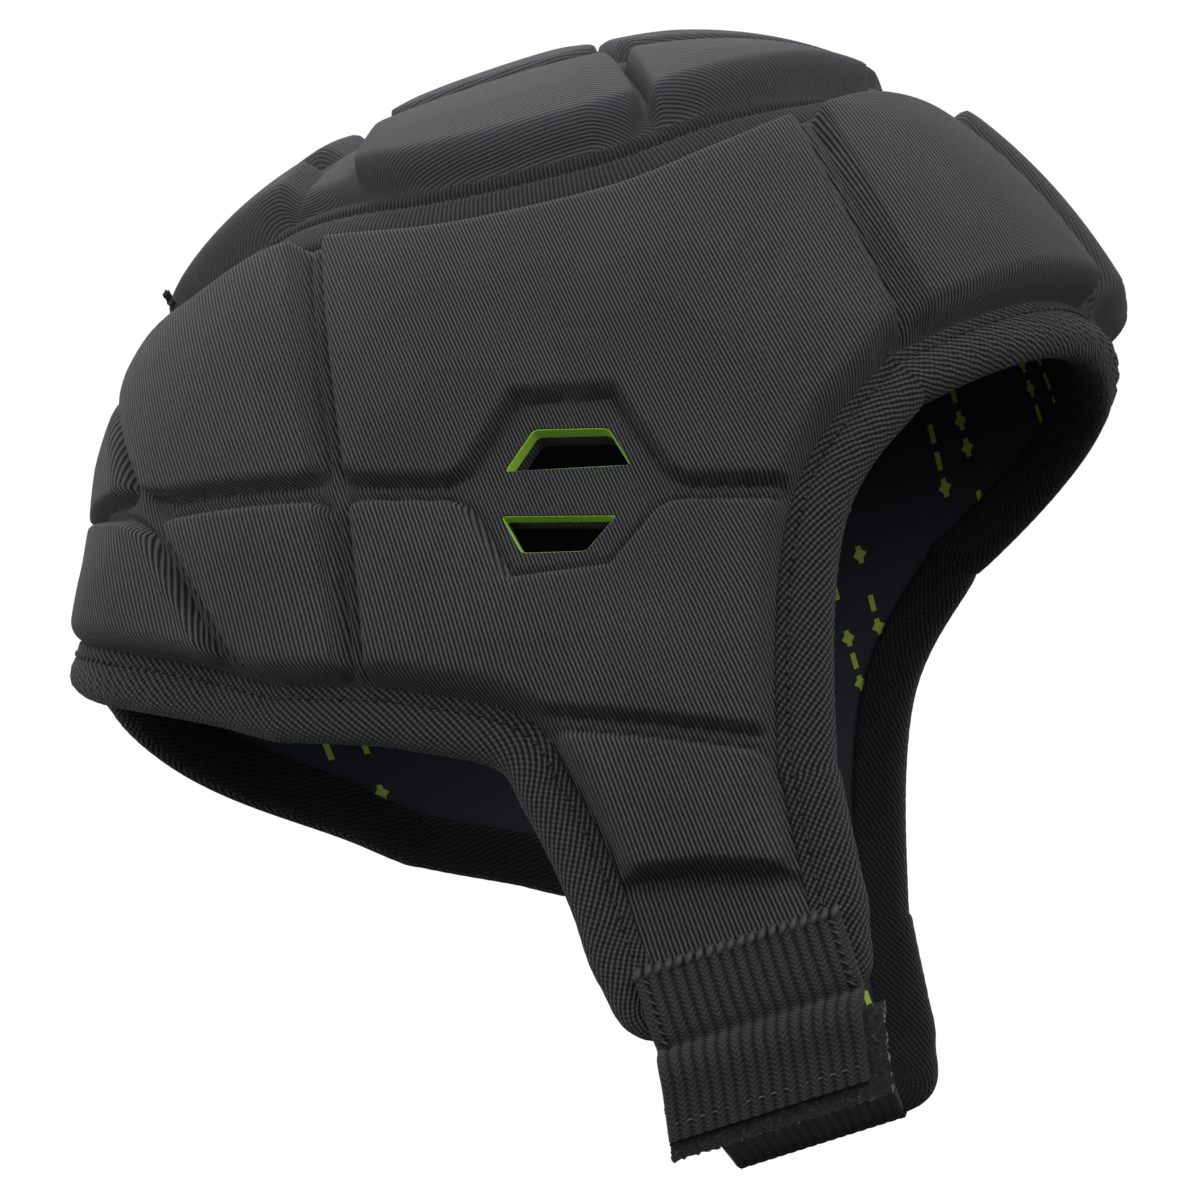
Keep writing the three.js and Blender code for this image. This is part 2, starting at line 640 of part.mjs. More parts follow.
// Tape folded over the whole bound edge, from the top of the back on one side to the other
function edgeBinding() {
  const right = outline.map((point) => patternDirection(point.x, point.y));
  const brim = [-0.5, 0, 0.5].map((share) => crownDirection(BRIM_ALONG, share * seamAcross(BRIM_ALONG)));
  const left = [...right].reverse().map((d) => new THREE.Vector3(-d.x, d.y, d.z));
  const outside = EDGE_TOP + BINDING_CLEAR;
  const inside = -BINDING_CLEAR_INSIDE;
  const profile = [
    [BINDING_WIDTH, outside],
    [BINDING_WIDTH, outside + BINDING_THICK],
    [0, outside + BINDING_THICK],
    [-BINDING_NOSE, EDGE_TOP / 2],
    [0, inside - BINDING_THICK],
    [BINDING_WIDTH, inside - BINDING_THICK],
    [BINDING_WIDTH, inside],
    [-PIECE_GAP, inside],
    [-PIECE_GAP, outside],
  ];
  return sweep(profileRings([...right, ...brim, ...left], () => profile), profile);
}

// Ribbed tape over one crown seam, running on down beside the forehead
function seamTape() {
  const path = TAPE_ROWS.map((along) => crownDirection(along, -seamAcross(along)));
  const base = EDGE_TOP + TAPE_CLEAR;
  const profile = (panelSide, crownSide) => [
    [-panelSide, base],
    [crownSide, base],
    [crownSide, base + TAPE_THICK],
    [crownSide / 2, base + TAPE_THICK + TAPE_RIDGE],
    [0, base + TAPE_THICK - TAPE_CREASE],
    [-panelSide / 2, base + TAPE_THICK + TAPE_RIDGE],
    [-panelSide, base + TAPE_THICK],
  ];
  const sections = TAPE_ROWS.map((along) => {
    const narrow = smoothstep(along, TAPE_NARROWS, TONGUE_START);
    return profile(lerp(TAPE_OVER_PANEL, TAPE_OVER_FOREHEAD, narrow), lerp(TAPE_OVER_CROWN, TAPE_OVER_FOREHEAD, narrow));
  });
  return sweep(profileRings(path, (i) => sections[i]), sections[0]);
}

// Point of a flap's outer face at a place y and level z, on one side of the head
function flapPoint(side, y, z, height) {
  const up = z - HEAD_CENTRE.z;
  const share = Math.abs(y / (y < 0 ? HEAD_FRONT : HEAD_REAR)) ** HEAD_ROUNDNESS
    + Math.abs(up / (up > 0 ? HEAD_UP : HEAD_DOWN)) ** HEAD_ROUNDNESS;
  const x = side * HEAD_HALF_WIDTH * (1 - share) ** (1 / HEAD_ROUNDNESS);
  return headPoint(new THREE.Vector3(x, y, up).normalize(), height);
}

// One piece of webbing: a patch sewn on a flap, then a free run in the plane across the head
function strapPiece(side, run) {
  const places = Array.from({ length: STRAP_COLUMNS }, (_, k) =>
    STRAP_MIDDLE + STRAP_WIDTH * (k / (STRAP_COLUMNS - 1) - 0.5));
  const inner = STRAP_PATCH.map(({ z, height }) => places.map((y) => flapPoint(side, y, z, height)));
  const outer = STRAP_PATCH.map(({ z, height }) => places.map((y) => flapPoint(side, y, z, height + STRAP_THICK)));
  run.forEach(([x, z], i) => {
    const before = i > 0 ? run[i - 1] : [inner.at(-1)[2].x, inner.at(-1)[2].z];
    const after = run[i + 1] ?? [2 * x - before[0], 2 * z - before[1]];
    const along = new THREE.Vector2(after[0] - before[0], after[1] - before[1]).normalize();
    const outward = new THREE.Vector2(along.y, -along.x).multiplyScalar(-side);
    const drift = STRAP_DRIFT * (STRAP_FALL - z);
    inner.push(places.map((y) => new THREE.Vector3(x, y + drift, z)));
    outer.push(inner.at(-1).map((point) =>
      point.clone().add(new THREE.Vector3(STRAP_THICK * outward.x, 0, STRAP_THICK * outward.y))));
  });
  const cells = [];
  for (let i = 0; i + 1 < inner.length; i += 1) {
    for (let k = 0; k + 1 < STRAP_COLUMNS; k += 1) {
      const a = i * STRAP_COLUMNS + k;
      cells.push([a, a + 1, a + 1 + STRAP_COLUMNS, a + STRAP_COLUMNS]);
    }
  }
  return slab(outer.flat(), inner.flat(), cells);
}

const group = new THREE.Group();

function addPiece(name, geometry, finish) {
  const mesh = new THREE.Mesh(geometry, new THREE.MeshStandardMaterial({ ...finish, metalness: 0 }));
  mesh.name = name;
  group.add(mesh);
}

const panel = sidePanel();
const lining = sideLining();
addPiece('side_panel_right', panel, KNIT);
addPiece('side_panel_left', mirrored(panel), KNIT);
addPiece('lining_right', lining, LINING);
addPiece('lining_left', mirrored(lining), LINING);
addPiece('crown_panel', crownPanel(), KNIT);
addPiece('lining_crown', crownLining(), LINING);
for (const vent of VENTS) {
  const liner = ventLiner(vent);
  addPiece(`vent_liner_${vent.name}_right`, liner, FOAM);
  addPiece(`vent_liner_${vent.name}_left`, mirrored(liner), FOAM);
}

const tape = seamTape();
addPiece('crown_tape_right', tape, BINDING);
addPiece('crown_tape_left', mirrored(tape), BINDING);
addPiece('edge_binding', edgeBinding(), BINDING);
addPiece('chin_strap_right', strapPiece(-1, STRAP_RIGHT_RUN), WEBBING);
addPiece('chin_strap_left', strapPiece(1, STRAP_LEFT_RUN), WEBBING);

export default group;
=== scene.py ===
"""Soft shell helmet: knit pads, linings, bound edges, seam tapes, vents and a chin strap."""

import json

import bpy
import numpy as np
from mathutils import Matrix, Vector

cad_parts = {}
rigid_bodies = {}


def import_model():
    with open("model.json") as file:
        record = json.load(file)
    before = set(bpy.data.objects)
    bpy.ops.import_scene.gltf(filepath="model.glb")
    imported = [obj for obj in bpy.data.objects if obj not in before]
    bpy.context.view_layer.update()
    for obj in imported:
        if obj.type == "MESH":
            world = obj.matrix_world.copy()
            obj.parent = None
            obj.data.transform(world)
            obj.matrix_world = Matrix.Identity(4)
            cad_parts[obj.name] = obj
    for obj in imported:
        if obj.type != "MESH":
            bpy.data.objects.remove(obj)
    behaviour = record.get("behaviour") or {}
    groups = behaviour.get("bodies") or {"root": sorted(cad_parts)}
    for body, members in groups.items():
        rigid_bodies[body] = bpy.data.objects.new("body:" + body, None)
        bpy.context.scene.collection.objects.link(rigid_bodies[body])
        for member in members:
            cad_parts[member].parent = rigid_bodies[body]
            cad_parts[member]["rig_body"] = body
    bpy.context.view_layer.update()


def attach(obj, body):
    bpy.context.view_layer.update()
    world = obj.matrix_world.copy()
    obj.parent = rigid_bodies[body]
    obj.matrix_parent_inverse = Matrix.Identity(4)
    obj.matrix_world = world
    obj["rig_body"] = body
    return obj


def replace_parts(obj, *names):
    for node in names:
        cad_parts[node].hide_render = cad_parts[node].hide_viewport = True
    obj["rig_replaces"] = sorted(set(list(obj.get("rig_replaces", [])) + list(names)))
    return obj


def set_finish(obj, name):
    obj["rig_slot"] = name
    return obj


bl_info = {
    "name": "Soft Shell Helmet",
    "version": (1, 0, 0),
    "blender": (4, 5, 0),
    "location": "3D View > Sidebar > Helmet",
    "description": "Dresses a soft shell helmet in knit, tape and webbing",
    "category": "Object",
}

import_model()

# Lengths below are in millimetres, and Blender works in metres
MM = 0.001

# Head form: half sizes from a centre below the crown, how square it is, and a flare at the nape
HEAD_HALF_WIDTH = 79
HEAD_FRONT = 96
HEAD_REAR = 104
HEAD_UP = 117
HEAD_DOWN = 200
HEAD_ROUNDNESS = 2.44
HEAD_CENTRE = np.array((0, 0, -HEAD_UP))
NAPE_FLARE = 11.5
NAPE_BACK = (0.8, 1)
NAPE_LEVEL = (0.28, 0.6)

# Heights of the layers above the head form
LINING_TOP = 1.1
PANEL_INSIDE = 1.2
EDGE_TOP = 4.5
GROOVE_TOP = 9.4
FOAM_BOTTOM = 5
FOAM_SUNK = 0.5
FOAM_WALL = 0.15
FOAM_GAP = 0.04

# Flat ledges beside edges and seams, and the rounded shoulders that rise from them
EDGE_LEDGE = 9.4
BACK_LEDGE = 4.6
BACK_LEDGE_LEVEL = (60, 85)
BRIM_LEDGE = 8.6
SEAM_LEDGE = 8.2
SEAM_LEDGE_BACK = 5
CROWN_LEDGE = 4.2
CROWN_LEDGE_BACK = 9
CROWN_BACK = (34, 42)
FOREHEAD_LEDGE = 5.6
TONGUE_LEDGE = 1.4
TONGUE_RISE = 2
SHOULDER = 5.5
SHOULDER_POWER = 2.4
SEAM_SHOULDER = 3.6
CROWN_SHOULDER = 4.4
GROOVE_SHOULDER = 2
GROOVE_HALF = 1.4
PAD_CORNER = 3.6
SEAT_SHOULDER = 1.2
# Creases pressed in at the feet of the pads and at the strap's seat, as depth and half width
FOOT_CREASE = 1.8
FOOT_CREASE_HALF = 0.8
SEAT_CREASE = 1.8
SEAT_CREASE_HALF = 0.9
SEAT_CREASE_FADE = 4
PUFF_REACH = 14
# The lower pads flatten towards the middle of the back
NAPE_DROP = 6
NAPE_DROP_BACK = (80, 118)
NAPE_DROP_LEVEL = (50, 76)

# Flat pattern of a side panel: p forward and q up from the ear
PATTERN_RADIUS = 90
SEAM_GAP = 0.1
BACK_GAP = 1.9
BACK_REACH = PATTERN_RADIUS * np.pi / 2 - BACK_GAP
PANEL_ROWS_MM = 110
FLAP_ROWS_MM = 84
# Steps along the lines that edges and grooves are measured from
BACK_STEPS = 30
OUTLINE_STEPS = 220
OUTLINE_START = 0.02
SEAM_STEPS = 140
SEAM_LINE_STEPS = 8
BRIM_STEPS = 15

# Crown seam: degrees along the crown from its top, front positive, and degrees across
CROWN_SEAM = np.array((
    (-43.5, 0.4), (-42.5, 7), (-40, 12), (-32, 18.8), (-25, 23), (-19, 28), (-12, 32.5), (-3, 35), (8, 35.6),
    (16, 34), (24, 29.6), (30, 24.5), (35, 17.5), (40, 12.4), (46, 11), (56, 10.1), (64, 8.8), (70.4, 8.3),
))
BRIM_ALONG = 70.4
FOREHEAD_ALONG = 41
CROWN_REAR_GAP = 0.5
CROWN_REAR_EASE = 6
CROWN_START_GAP = 0.2
TAPE_NARROWS = (26, 40)
TAPE_BACK = (36, 42)

# Outline of a side panel in its pattern: down to the nape, round the flap and up to the forehead
OUTLINE = np.array((
    (-131.5, 46.5), (-120.5, 36), (-101, 18.7), (-79, 0.5), (-73, -3), (-58, -10.5), (-52, -14), (-36, -24.5),
    (-32, -35), (-29, -45), (-27, -54), (-25, -64), (-18, -72.5), (12.5, -74.5), (19.5, -67), (21.5, -60),
    (23, -53), (24.5, -46), (26, -40), (43, 3), (62, 22), (69, 25.2), (121, 43),
))
FLAP_REAR = 7
FLAP_REAR_LOW = 12
FLAP_FRONT_LOW = 13
FLAP_FRONT = 18
# Place on the crown seam above each outline point of the neck and of the face
NECK_SEAM = (-43.4, -42.8, -42.7, -42.6, -41.4, -22.3, -19.3, -12)
FACE_SEAM = (17.7, 22, 27.6, 30, 41)
REAR_GROOVE = 3
FRONT_GROOVE = 21

# Grooves moulded between the pads, from and to points of the pattern
PAD_GROOVES = np.array((
    ((-72, -20), (-92, 110)), ((-60, -20), (-35, 100)), ((67, 15), (48, 95)), ((-130, 84), (-80, 48)),
    ((-80, 48), (-24, 27)), ((12, 15.5), (32, 9)), ((-34, -18), (18, -40)),
))
VENT_FIELD = np.array(((-27, 29), (-11.5, 42), (7, 37.5), (14, 16.5), (-3.5, 5), (-23, 9)))
STRAP_SEAT = np.array(((-40, -51), (-17, -52.5), (-3, -55), (13, -59.5), (40, -66), (40, -90), (-40, -90)))
VENTS = {
    "upper": np.array(((-18.3, 29.8), (-10.2, 36.3), (4.3, 32), (6.6, 23.2))),
    "lower": np.array(((-21.5, 21.6), (1, 14.3), (-7.4, 9), (-19.9, 12.8))),
}
VENT_CORNER = 1.2
VENT_CORNER_STEPS = 5

# Crown blocks: grooves as shares of the half width, and as degrees along with their half widths
CROWN_COLUMN_GROOVES = (0, 0.6)
CROWN_ROW_GROOVES = ((-19.9, 3), (15.9, 0.3), (38.2, 3.6))
# How far the crown's rows draw together towards its middle, as degrees at the row
CROWN_PINCH = np.array(((-43.5, 0), (-20.7, 17), (-3, 1.5), (15.9, -12), (30, 0), (71, 0)))
CROWN_PINCH_MOST = 0.62
CROWN_PINCH_FALL = 1.15
CROWN_RADIUS = 112
CROWN_MM = CROWN_RADIUS * np.pi / 180
CROWN_WIDTH = 150
CROWN_LENGTH = 224
TONGUE = (37, 42)
# Rows over which the crown's ribs are evened out
RIB_EVENING = 16
# Steps over which the run of a strip is evened out
RUN_EVENING = 6
RUN_SPREAD = 2.5

# The knit's ribs lean forward, more at the front and the top of a panel
RIB_LEAN = 0.116
RIB_LEAN_FORWARD = 0.0034
RIB_LEAN_UP = 0.00074
RIB_LEVEL = -10
# Upright grooves come first in the table, and the cloth has some slack over their sides
UPRIGHT_GROOVES = 3
GROOVE_SLACK = 2.2
# Grooves grow shallow towards the middle of the back
GROOVE_FADE = 2
GROOVE_FADE_BACK = (86, 112)

# Chin strap: rows sewn on the flap as level and height, then the free run as x and z
STRAP_MIDDLE_Y = 1.5
STRAP_FALL = -200
STRAP_DRIFT = 0.2
STRAP_PATCH = np.array(((-185.5, 7), (-188.5, 7.2), (-194.5, 7.6), (STRAP_FALL, 7.2)))
STRAP_RIGHT_RUN = np.array(((-82.8, -206), (-82, -211), (-80.2, -216.4)))
STRAP_LEFT_RUN = np.array((
    (82, -197.8), (77, -199.2), (60, -199.8), (30, -200.8), (0, -202.6), (-30, -205.4), (-55, -209.4),
    (-66, -212), (-72.5, -211.8), (-76.4, -208.4), (-78.2, -203.4),
))
# The left end sits further back than the right one, and the run between them slants
STRAP_LEFT_BACK = 6
STRAP_LEFT_UP = 6.5
# Levels and run over which the left end's shift comes in
STRAP_SWAY_LEVEL = (183, 203)
STRAP_SWAY_FROM = 78
STRAP_SWAY_OVER = 160
STRAP_CELL = 0.8
STRAP_CORDS = 17
CORD_COLUMNS = 8
CORD_POWER = 0.7
# The webbing thins at its selvedges, and bulges and dents where its patch ends, as rise, place and reach
SELVEDGE_DROP = 0.5
SELVEDGE = (0.485, 0.5)
FALL_CREASES = ((1.7, 4.5, 3.4), (-1.2, -0.4, 1.2))
# Fuzzy strip of the fastener, under the right strap
PILE_RUN = np.array(((-82.4, -206), (-81.6, -211), (-79.8, -216.4), (-78.2, -220)))
PILE_START = 18
PILE_THICK = 1.6
PILE_WIDTH = (-0.6, 0.5)
PILE_COLUMNS = 90
PILE_CELL = 0.5
PILE_FUZZ = 0.35
PILE_UNDER = 0.15

# Edge tape: length round its outer face, and the twill's turn and ridge spacing
TAPE_FACE = 15
TWILL_TURN = 15
TWILL_SLANT = -1.43
TWILL_SPACING = 1.75
YARN_SPACING = 1.1
# The tape is narrow down the back and widens over a stretch before the nape
TAPE_BACK_WIDTH = 4.4
TAPE_WIDENS = (40, 10)
# Gathers at the brim, a ripple all along, and creases with a lump at the nape
GATHER = 0.9
GATHER_REACH = 26
GATHER_SPACING = 9.3
RIPPLE = 0.1
RIPPLE_SPACING = 3.1
CREASE_BACK = 6
CREASE_REACH = 22
CREASES = ((0.5, 1.1, 0), (0.6, 2.3, 1))
LUMP = 2
LUMP_BACK = 16
LUMP_REACH = 9
# A cut end of tape stands up from the right seam at the back
TAPE_END_ALONG = -37.2
TAPE_END_FOOT = 5.0
TAPE_END_SIZE = (7, 8, 1.4)
TAPE_END_CELLS = (10, 12)
TAPE_END_BEND = 2
TAPE_END_FRAY = 0.5

# Seam tapes: degrees along, widths on the panel and the crown at the back and the front, and a sunk front end
SEAM_TAPE_ALONG = (-42, 44)
SEAM_TAPE_STEPS = 260
TAPE_ON_PANEL = (8.2, 1.8)
TAPE_ON_CROWN = (4.3, 1.6)
TAPE_FOOT = 4.2
TAPE_SINKS = (38, 44)
TAPE_SINK = 0.8
TAPE_RIB_SPACING = 0.85
WEBBING_YARN_SPACING = 0.85

# Stitches as spacing and size
EDGE_STITCH = (2.4, (1.3, 0.8, 0.7))
EDGE_STITCH_PLACE = 0.75
EDGE_STITCH_HEIGHT = 5.6
SEAM_STITCH = (2.6, (1.6, 0.5, 0.4))
SEAM_STITCH_HEIGHT = 5.1
SEAM_STITCH_END = 36
OVERCAST_STITCH = (1.9, (3.4, 1.8, 1.5))
BOX_STITCH = (1.7, (2.6, 0.8, 0.7))
END_STITCH = (2.6, (2.1, 0.4, 0.4))
END_STITCH_PLACE = 4
# Where the strap's stitches lie: columns of its width, rise above it, and the first length of the box
STITCH_COLUMNS = 41
STITCH_RISE = 0.3
BOX_START = 1.5
BOX_COLUMNS = {"front": 2, "rear": -3}

# Marks of the lining: cell, half size of a bar, reach of a diamond, and groups of columns with two marked
MARK_CELL = (7.5, 5.6)
MARK_BAR = (0.6, 1.9)
MARK_BAR_CHANCE = 0.3
MARK_DIAMOND = 1.6
MARK_DIAMOND_CHANCE = 0.7
MARK_COLUMNS = 4.0
LAST_MARK_COLUMN = 1.5
# They leave out the middle of the lining above a level of the pattern
MARKS_TOP = 42
MARKS_FRONT = 30
# The crown's lining is counted from further aside, so that it keeps its marks
CROWN_LINING_ASIDE = 210
LINING_CELL = 3
CROWN_LINING_CELLS = (46, 76)

# Camera that took the picture, and what it looks at
CAMERA_PLACE = (-0.92723, -0.05347, -0.34714)
CAMERA_TARGET = (0, 0.013144, -0.09456)
CAMERA_ROLL = np.radians(16.8817)
CAMERA_LENS = 142.5
SENSOR_WIDTH = 36
FLOOR_LEVEL = -0.52
FLOOR_SIZE = 8
# Soft lights as place, size and power, all turned to one point
LIGHTS = (((0.1, 0, 1.2), 0.8, 9), ((-1.2, 0.35, 0), 0.9, 3), ((-1.1, -0.6, 0), 0.8, 7))
LIGHT_TARGET = (0, 0, -0.09)

# Finish of the cloths, and how full of foam the pads are
CLOTH_BUMP = 0.8
CLOTH_ROUGHNESS = 0.85
CLOTH_SPECULAR = 0.25
SHEEN_ROUGHNESS = 0.5
CLOTH_SHEEN = 0.05
PILE_SHEEN = 0.3
# Angles in degrees below which edges are shaded smooth
PAD_ANGLE = 75
TAPE_ANGLE = 80
STRAP_ANGLE = 60
FOAM_ANGLE = 30
# Distances in Blender units within which doubled points merge
MERGE = 1e-6
MERGE_FINE = 1e-7
MERGE_PATTERN = 0.02
MERGE_CUTTER = 1e-4


class HelmetSizes(bpy.types.PropertyGroup):
    """Sizes that a user would change, in millimetres"""

    pad_top: bpy.props.FloatProperty(
        name="Pad top", description="Height of the pads above the head form, in mm",
        default=13.2, min=8, max=18)
    puff: bpy.props.FloatProperty(
        name="Puff", description="Extra crown in the middle of a pad, in mm", default=1.4, min=0, max=4)
    cell: bpy.props.FloatProperty(
        name="Cell", description="Size of the mesh cells on the pads, in mm", default=0.65, min=0.5, max=4)
    rib_spacing: bpy.props.FloatProperty(
        name="Rib spacing", description="Distance between ribs of the knit, in mm",
        default=0.785, min=0.5, max=3)
    binding_width: bpy.props.FloatProperty(
        name="Binding width", description="Visible width of the edge binding, in mm",
        default=9, min=4, max=12)
    strap_width: bpy.props.FloatProperty(
        name="Strap width", description="Width of the chin strap, in mm", default=38, min=20, max=50)
    strap_thick: bpy.props.FloatProperty(
        name="Strap thickness", description="Thickness of the chin strap, in mm", default=1.8, min=1, max=3)


class HelmetColours(bpy.types.PropertyGroup):
    """Colours that a user would change, as sRGB hex values"""

    knit: bpy.props.StringProperty(
        name="Knit", description="Ribs of the pads' knit cover", default="#464649")
    # Colour of the valleys between the side panels' ribs: painted shade
    knit_valley_painted_shade: bpy.props.StringProperty(
        name="Knit valley", description="Between the ribs of the side panels", default="#050506")
    # Painted shade between the crown's ribs, lighter than on the side panels, which paints the crown lighter
    crown_valley_painted_lighter: bpy.props.StringProperty(
        name="Crown valley", description="Between the ribs of the crown", default="#333337")
    lining: bpy.props.StringProperty(name="Lining", description="Inside fabric", default="#1d212a")
    mark: bpy.props.StringProperty(
        name="Marks", description="Printed marks of the lining", default="#9ab545")
    binding: bpy.props.StringProperty(name="Binding", description="Woven edge tape", default="#414143")
    binding_inside: bpy.props.StringProperty(
        name="Binding inside", description="Inner side of the edge tape", default="#1d1f25")
    # Painted shade between the yarns of the tapes and the webbing, and in the low places of the pile
    binding_valley_painted_shade: bpy.props.StringProperty(
        name="Binding valley", description="Between the yarns of the tapes", default="#070708")
    tape: bpy.props.StringProperty(name="Tape", description="Ribs of the seam tapes", default="#353538")
    webbing: bpy.props.StringProperty(name="Webbing", description="Chin strap", default="#2e2e30")
    pile: bpy.props.StringProperty(
        name="Pile", description="Fuzzy side of the strap's fastener", default="#202022")
    thread: bpy.props.StringProperty(name="Thread", description="Dark stitches", default="#0b0b0c")
    foam: bpy.props.StringProperty(name="Foam", description="Foam seen in the vents", default="#98c840")
    floor: bpy.props.StringProperty(name="Floor", description="Floor of the stage", default="#303032")


def linear(text):
    """Linear colour of an sRGB hex value"""
    parts = [int(text[i:i + 2], 16) / 255 for i in (1, 3, 5)]
    return (*[x / 12.92 if x <= 0.04045 else ((x + 0.055) / 1.055) ** 2.4 for x in parts], 1)


def unit(vectors):
    return vectors / np.linalg.norm(vectors, axis=-1)[..., None]


def smooth(x, low, high):
    share = np.clip((x - low) / (high - low), 0, 1)
    return share * share * (3 - 2 * share)


def bell(x, middle, reach):
    return np.exp(-((x - middle) / reach) ** 2)


def through(points, places):
    """Points of a smooth line through the given ones, at places counted from the first"""
    points = np.asarray(points, float)
    places = np.asarray(places, float)
    start = np.clip(np.floor(places).astype(int), 0, len(points) - 2)
    share = (places - start)[:, None]
    near = [points[np.clip(start + k, 0, len(points) - 1)] for k in (-1, 0, 1, 2)]
    slope_in = (near[2] - near[0]) / 2
    slope_out = (near[3] - near[1]) / 2
    cube, square = share ** 3, share ** 2
    return (near[1] * (2 * cube - 3 * square + 1) + slope_in * (cube - 2 * square + share)
            + near[2] * (3 * square - 2 * cube) + slope_out * (cube - square))


SEAM_LINE = through(CROWN_SEAM, np.linspace(0, len(CROWN_SEAM) - 1, SEAM_LINE_STEPS * len(CROWN_SEAM)))


def evened(rows, reach, spread):
    """Rows of numbers, smoothed down each column"""
    soft = np.exp(-0.5 * (np.arange(-reach, reach + 1) / spread) ** 2)
    padded = np.pad(rows, ((reach, reach), (0, 0)), mode="edge")
    return np.column_stack([np.convolve(line, soft / soft.sum(), "valid") for line in padded.T])


def lengths_along(points):
    return np.r_[0, np.cumsum(np.linalg.norm(np.diff(points, axis=0), axis=1))]


def at_lengths(points, lengths, wanted):
    return np.column_stack([np.interp(wanted, lengths, points[:, k]) for k in range(points.shape[1])])


def evenly(points, spacing):
    """The same line with points a given distance apart"""
    lengths = lengths_along(points)
    return at_lengths(points, lengths, np.linspace(0, lengths[-1], max(int(lengths[-1] / spacing), 2) + 1))


def head_surface(directions):
    """Points of the head form and its normals, seen from its centre"""
    sizes = np.column_stack((
        np.full(len(directions), HEAD_HALF_WIDTH),
        np.where(directions[:, 1] < 0, HEAD_FRONT, HEAD_REAR),
        np.where(directions[:, 2] > 0, HEAD_UP, HEAD_DOWN),
    ))
    reach = (np.abs(directions / sizes) ** HEAD_ROUNDNESS).sum(1) ** (-1 / HEAD_ROUNDNESS)
    points = directions * reach[:, None]
    slopes = np.sign(points) * np.abs(points / sizes) ** (HEAD_ROUNDNESS - 1) / sizes
    return points, unit(slopes)


def on_head(directions, heights):
    """Points in mm at heights above the head form, which flares at the nape"""
    points, normals = head_surface(directions)
    rearward = directions[:, 1] / np.maximum(np.hypot(directions[:, 0], directions[:, 1]), 1e-9)
    flare = NAPE_FLARE * smooth(rearward, *NAPE_BACK) * (1 - smooth(directions[:, 2], *NAPE_LEVEL))
    return points + normals * (heights + flare)[:, None] + HEAD_CENTRE


def pattern_direction(flat):
    """Directions of points of the right side panel's flat pattern"""
    reach = np.maximum(np.linalg.norm(flat, axis=1), 1e-9)
    turn = reach / PATTERN_RADIUS
    share = np.sin(turn) / reach
    return np.column_stack((-np.cos(turn), -share * flat[:, 0], share * flat[:, 1]))


def crown_direction(along, across):
    a, c = np.radians(along), np.radians(across)
    return np.column_stack((np.sin(c), -np.cos(c) * np.sin(a), np.cos(c) * np.cos(a)))


def seam_across(along):
    return np.interp(along, SEAM_LINE[:, 0], SEAM_LINE[:, 1])


def seam_in_pattern(along, gap):
    reach = PATTERN_RADIUS * np.radians(90 - seam_across(along)) - gap
    return np.column_stack((reach * np.sin(np.radians(along)), reach * np.cos(np.radians(along))))


def line_distance(flat, path):
    """Distance from each point to a line of points"""
    nearest = np.full(len(flat), np.inf)
    for start, end in zip(path[:-1], path[1:]):
        run = end - start
        share = np.clip((flat - start) @ run / max(run @ run, 1e-9), 0, 1)
        nearest = np.minimum(nearest, np.linalg.norm(flat - start - share[:, None] * run, axis=1))
    return nearest


def field_distance(flat, corners):
    """Distance to the edge of a field, negative inside it"""
    nearest = line_distance(flat, np.vstack((corners, corners[:1])))
    inside = np.zeros(len(flat), bool)
    for (x0, y0), (x1, y1) in zip(corners, np.roll(corners, -1, axis=0)):
        crosses = (y0 > flat[:, 1]) != (y1 > flat[:, 1])
        if y0 != y1:
            inside ^= crosses & (flat[:, 0] < x0 + (flat[:, 1] - y0) * (x1 - x0) / (y1 - y0))
    return np.where(inside, -nearest, nearest)


def rounded(corners):
    """Outline of a field with its corners rounded"""
    points = []
    for before, corner, after in zip(np.roll(corners, 1, axis=0), corners, np.roll(corners, -1, axis=0)):
        start = corner + unit(before - corner) * VENT_CORNER
        end = corner + unit(after - corner) * VENT_CORNER
        for t in np.linspace(0, 1, VENT_CORNER_STEPS):
            points.append(start * (1 - t) ** 2 + corner * 2 * t * (1 - t) + end * t * t)
    return np.array(points)


def shoulder_rise(distance, width):
    """Rise of a pad's rounded shoulder: steep at its foot and level at its top"""
    share = np.clip(distance / width, 0, 1)
    return 1 - (1 - share) ** SHOULDER_POWER


def groove_floor():
    """Height of a groove's floor as a share of a pad's rise"""
    return (GROOVE_TOP - EDGE_TOP) / (bpy.context.scene.helmet_sizes.pad_top - EDGE_TOP)


def pad_height(edges, grooves):
    """Height of a pad, from edges as distance, ledge, shoulder and floor, and distances from grooves"""
    sizes = bpy.context.scene.helmet_sizes
    rise = 1
    distances = list(grooves)
    for distance, ledge, width, floor in edges:
        rise = rise * (floor + (1 - floor) * shoulder_rise(distance - ledge, width))
        distances.append(distance - ledge)
    closeness = sum(np.maximum(PAD_CORNER - distance, 0) ** 2 for distance in distances)
    inside = PAD_CORNER - np.sqrt(closeness)
    floor = groove_floor()
    rise = rise * (floor + (1 - floor) * shoulder_rise(inside, GROOVE_SHOULDER))
    nearest = np.maximum(np.min(distances, axis=0), 0)
    puff = sizes.puff * rise * (1 - np.exp(-nearest / PUFF_REACH))
    crease = FOOT_CREASE * rise * bell(inside, 0, FOOT_CREASE_HALF)
    return EDGE_TOP + (sizes.pad_top - EDGE_TOP) * rise + puff - crease


def deselect_all():
    bpy.ops.object.select_all(action="DESELECT")


def pick(piece):
    """Make a piece the only selected one"""
    deselect_all()
    piece.select_set(True)
    bpy.context.view_layer.objects.active = piece


def flat_grid(name, columns, rows):
    """Flat sheet of cells from 0 to 1 each way"""
    deselect_all()
    middle = (0.5, 0.5, 0)
    bpy.ops.mesh.primitive_grid_add(x_subdivisions=columns, y_subdivisions=rows, size=1, location=middle)
    bpy.ops.object.transform_apply(location=True)
    piece = bpy.context.object
    piece.name = piece.data.name = name
    return piece


